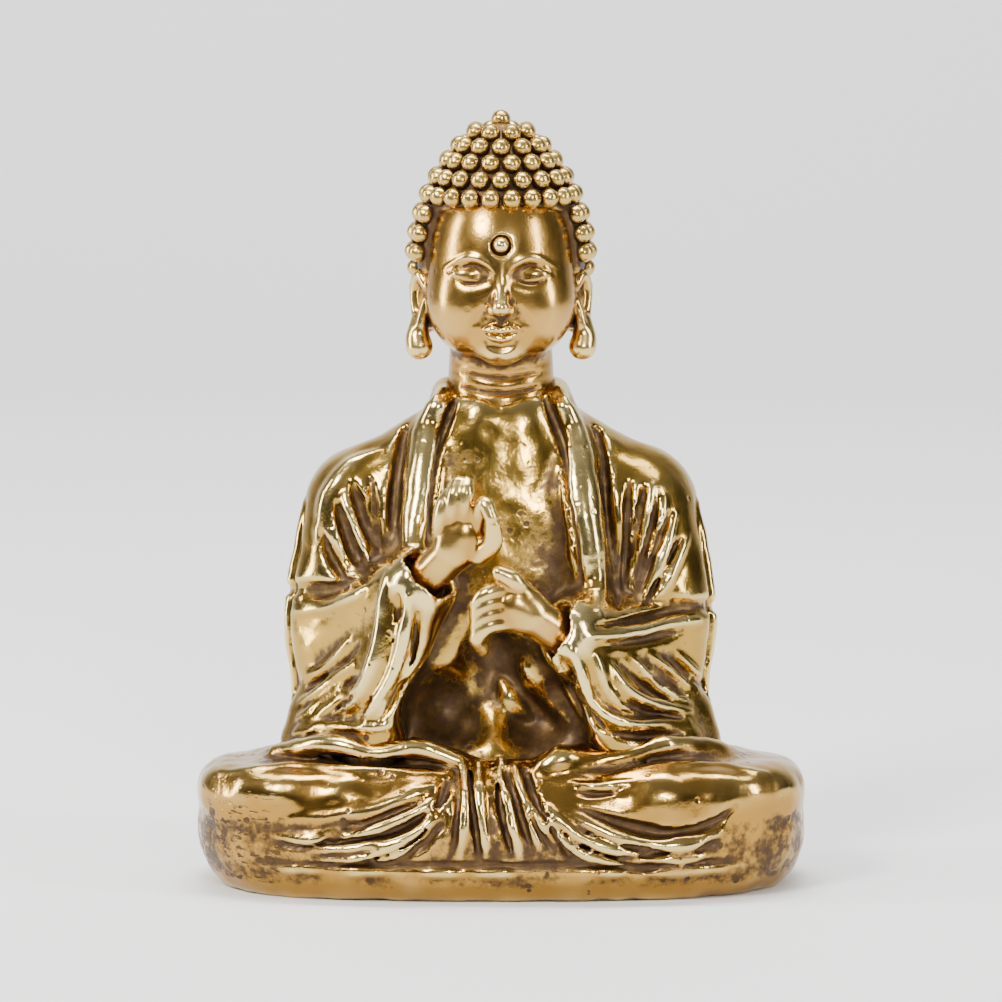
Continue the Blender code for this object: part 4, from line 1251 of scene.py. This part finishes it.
# The curls get a painted shade: dark on the cap between them and low on each bead.
brass_material(
    hair_brass, 0.34, 0.2, grain=0.15, pits=0.2, bump=0.02, brass=(0.3, 0.16, 0.035, 1),
    rubbed=(0.55, 0.37, 0.1, 1), relief=spiral_height, shade=curl_painted_shade,
)
bead_brass = brass_material(new_material("bead_brass"), -0.3, 0.13, pits=0.1, brass=RUBBED)


# %% Sheet and rod
def plain_metal(name, color, roughness, streaks, stretch):
    """Rolled sheet or drawn rod, with fine streaks along one way."""
    material = new_material(name)
    tree = material.node_tree
    mapping = made(tree, "ShaderNodeMapping", {"Scale": stretch, "Vector": object_place(tree)})
    streak = noise(tree, mapping.outputs["Vector"], streaks, 4.0)
    tone = mixed(tree, streak, [c * 0.6 for c in color[:3]] + [1], color)
    bumps = made(tree, "ShaderNodeBump", {"Strength": 0.3, "Distance": 0.01 * MM, "Height": streak})
    surface = feed(tree, tree.nodes["Principled BSDF"], {"Metallic": 1.0, "Base Color": tone})
    feed(tree, surface, {"Roughness": streak * 0.25 + roughness, "Normal": bumps.outputs["Normal"]})
    return material


sheet_brass = plain_metal("sheet_brass", (0.55, 0.38, 0.16, 1), 0.3, 900.0, (1, 8, 1))
rod_steel = plain_metal("rod_steel", (0.6, 0.59, 0.57, 1), 0.25, 1200.0, (6, 6, 1))

# %% Dress the pieces
DRESS = {
    "legs": ("leg_casting", "polished_brass", legs_brass),
    "body": ("body_casting", "polished_brass", robe_brass),
    "head": ("head_casting", "polished_brass", skin_brass),
    "hair": ("hair_cap", "dark_brass", hair_brass),
    "right_hand": ("right_hand", "polished_brass", skin_brass),
    "left_hand": ("left_hand", "polished_brass", skin_brass),
    "urna": ("urna_bead", "dark_brass", bead_brass),
}
for name, (node, slot, material) in DRESS.items():
    piece = pieces[name]
    piece.data.materials.clear()
    piece.data.materials.append(material)
    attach(piece, "root")
    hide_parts(node)
for node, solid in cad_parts.items():
    if node == "base_plate" or node.endswith("dowel"):
        solid.data.materials.clear()
        solid.data.materials.append(sheet_brass if node == "base_plate" else rod_steel)

# %% [markdown]
# ## Floor, light and camera
#
# Metal shows what stands round it, so the light for brass is made of large soft boxes with dark gaps between them.
# The boxes give long clean highlights along the folds, and the gaps give the folds their dark side.

# %% Floor with a curved back
def backdrop():
    bend = [(0.0, -0.11), (0.0, 0.25)]
    for a in np.linspace(0.1, math.pi / 2, 10):
        bend.append((0.15 - 0.15 * math.cos(a), 0.25 + 0.15 * math.sin(a)))
    bend.append((0.8, 0.4))
    mesh = bpy.data.meshes.new("backdrop")
    verts = [(x, y, z) for z, y in bend for x in (-0.9, 0.9)]
    strips = [(2 * i, 2 * i + 1, 2 * i + 3, 2 * i + 2) for i in range(len(bend) - 1)]
    mesh.from_pydata(verts, [], strips)
    mesh.shade_smooth()
    paper = new_material("white_paper")
    surface = paper.node_tree.nodes["Principled BSDF"]
    feed(paper.node_tree, surface, {"Base Color": (0.72, 0.72, 0.72, 1), "Roughness": 0.7})
    mesh.materials.append(paper)
    new_piece("backdrop", mesh)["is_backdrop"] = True


backdrop()


# %% Soft boxes
def soft_box(name, place, aim, size, power, color=(1, 1, 1)):
    light = bpy.data.lights.new(name, "AREA")
    light.shape, light.size, light.size_y = "RECTANGLE", size[0], size[1]
    light.energy, light.color = power, color
    lamp = new_piece(name, light)
    lamp.location = place
    lamp.rotation_euler = (Vector(aim) - Vector(place)).to_track_quat("-Z", "Y").to_euler()


CHEST = (0, 0, 0.02)
soft_box("key", (-0.2, -0.26, 0.26), CHEST, (0.1, 0.12), 2.2, (1.0, 0.98, 0.94))
soft_box("right_strip", (0.3, -0.14, 0.12), CHEST, (0.035, 0.2), 0.8)
soft_box("left_strip", (-0.3, -0.02, 0.1), CHEST, (0.035, 0.2), 0.8)
soft_box("top", (0.0, 0.02, 0.36), CHEST, (0.16, 0.1), 1.2)
soft_box("lamp", (0.09, -0.42, 0.16), CHEST, (0.05, 0.05), 1.0)
soft_box("back_paper", (0.0, 0.02, 0.42), (0, 0.35, 0.1), (0.5, 0.15), 2.6)

# %% A dim room, brighter overhead
world = bpy.data.worlds.new("room")
bpy.context.scene.world = world
world.use_nodes = True
air = world.node_tree
up = axes_of(air, air.nodes.new("ShaderNodeTexCoord").outputs["Generated"])[2]
glow = ramp(up, 0.15, 0.95) * 0.3 + 0.07
feed(air, air.nodes["Background"], {"Strength": glow, "Color": (0.95, 0.96, 1.0, 1)})

# %% Camera
CAMERA_RISE = math.radians(7)
CAMERA_DISTANCE = 0.36
camera = bpy.data.cameras.new("camera")
camera.lens = 250
camera.clip_start = 0.01
viewer = new_piece("camera", camera)
aim = Vector((0, 0, 0.0197))
back_and_up = Vector((0, -math.cos(CAMERA_RISE), math.sin(CAMERA_RISE)))
viewer.location = aim + back_and_up * CAMERA_DISTANCE
viewer.rotation_euler = (aim - viewer.location).to_track_quat("-Z", "Y").to_euler()
bpy.context.scene.camera = viewer

# %% Print how far the dressed pieces reach beyond the solids
visual_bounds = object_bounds()
growth = [[round((v - c) / MM, 2) for v, c in zip(vs, cs)] for vs, cs in zip(visual_bounds, cad_bounds)]
print("grew by mm:", growth)
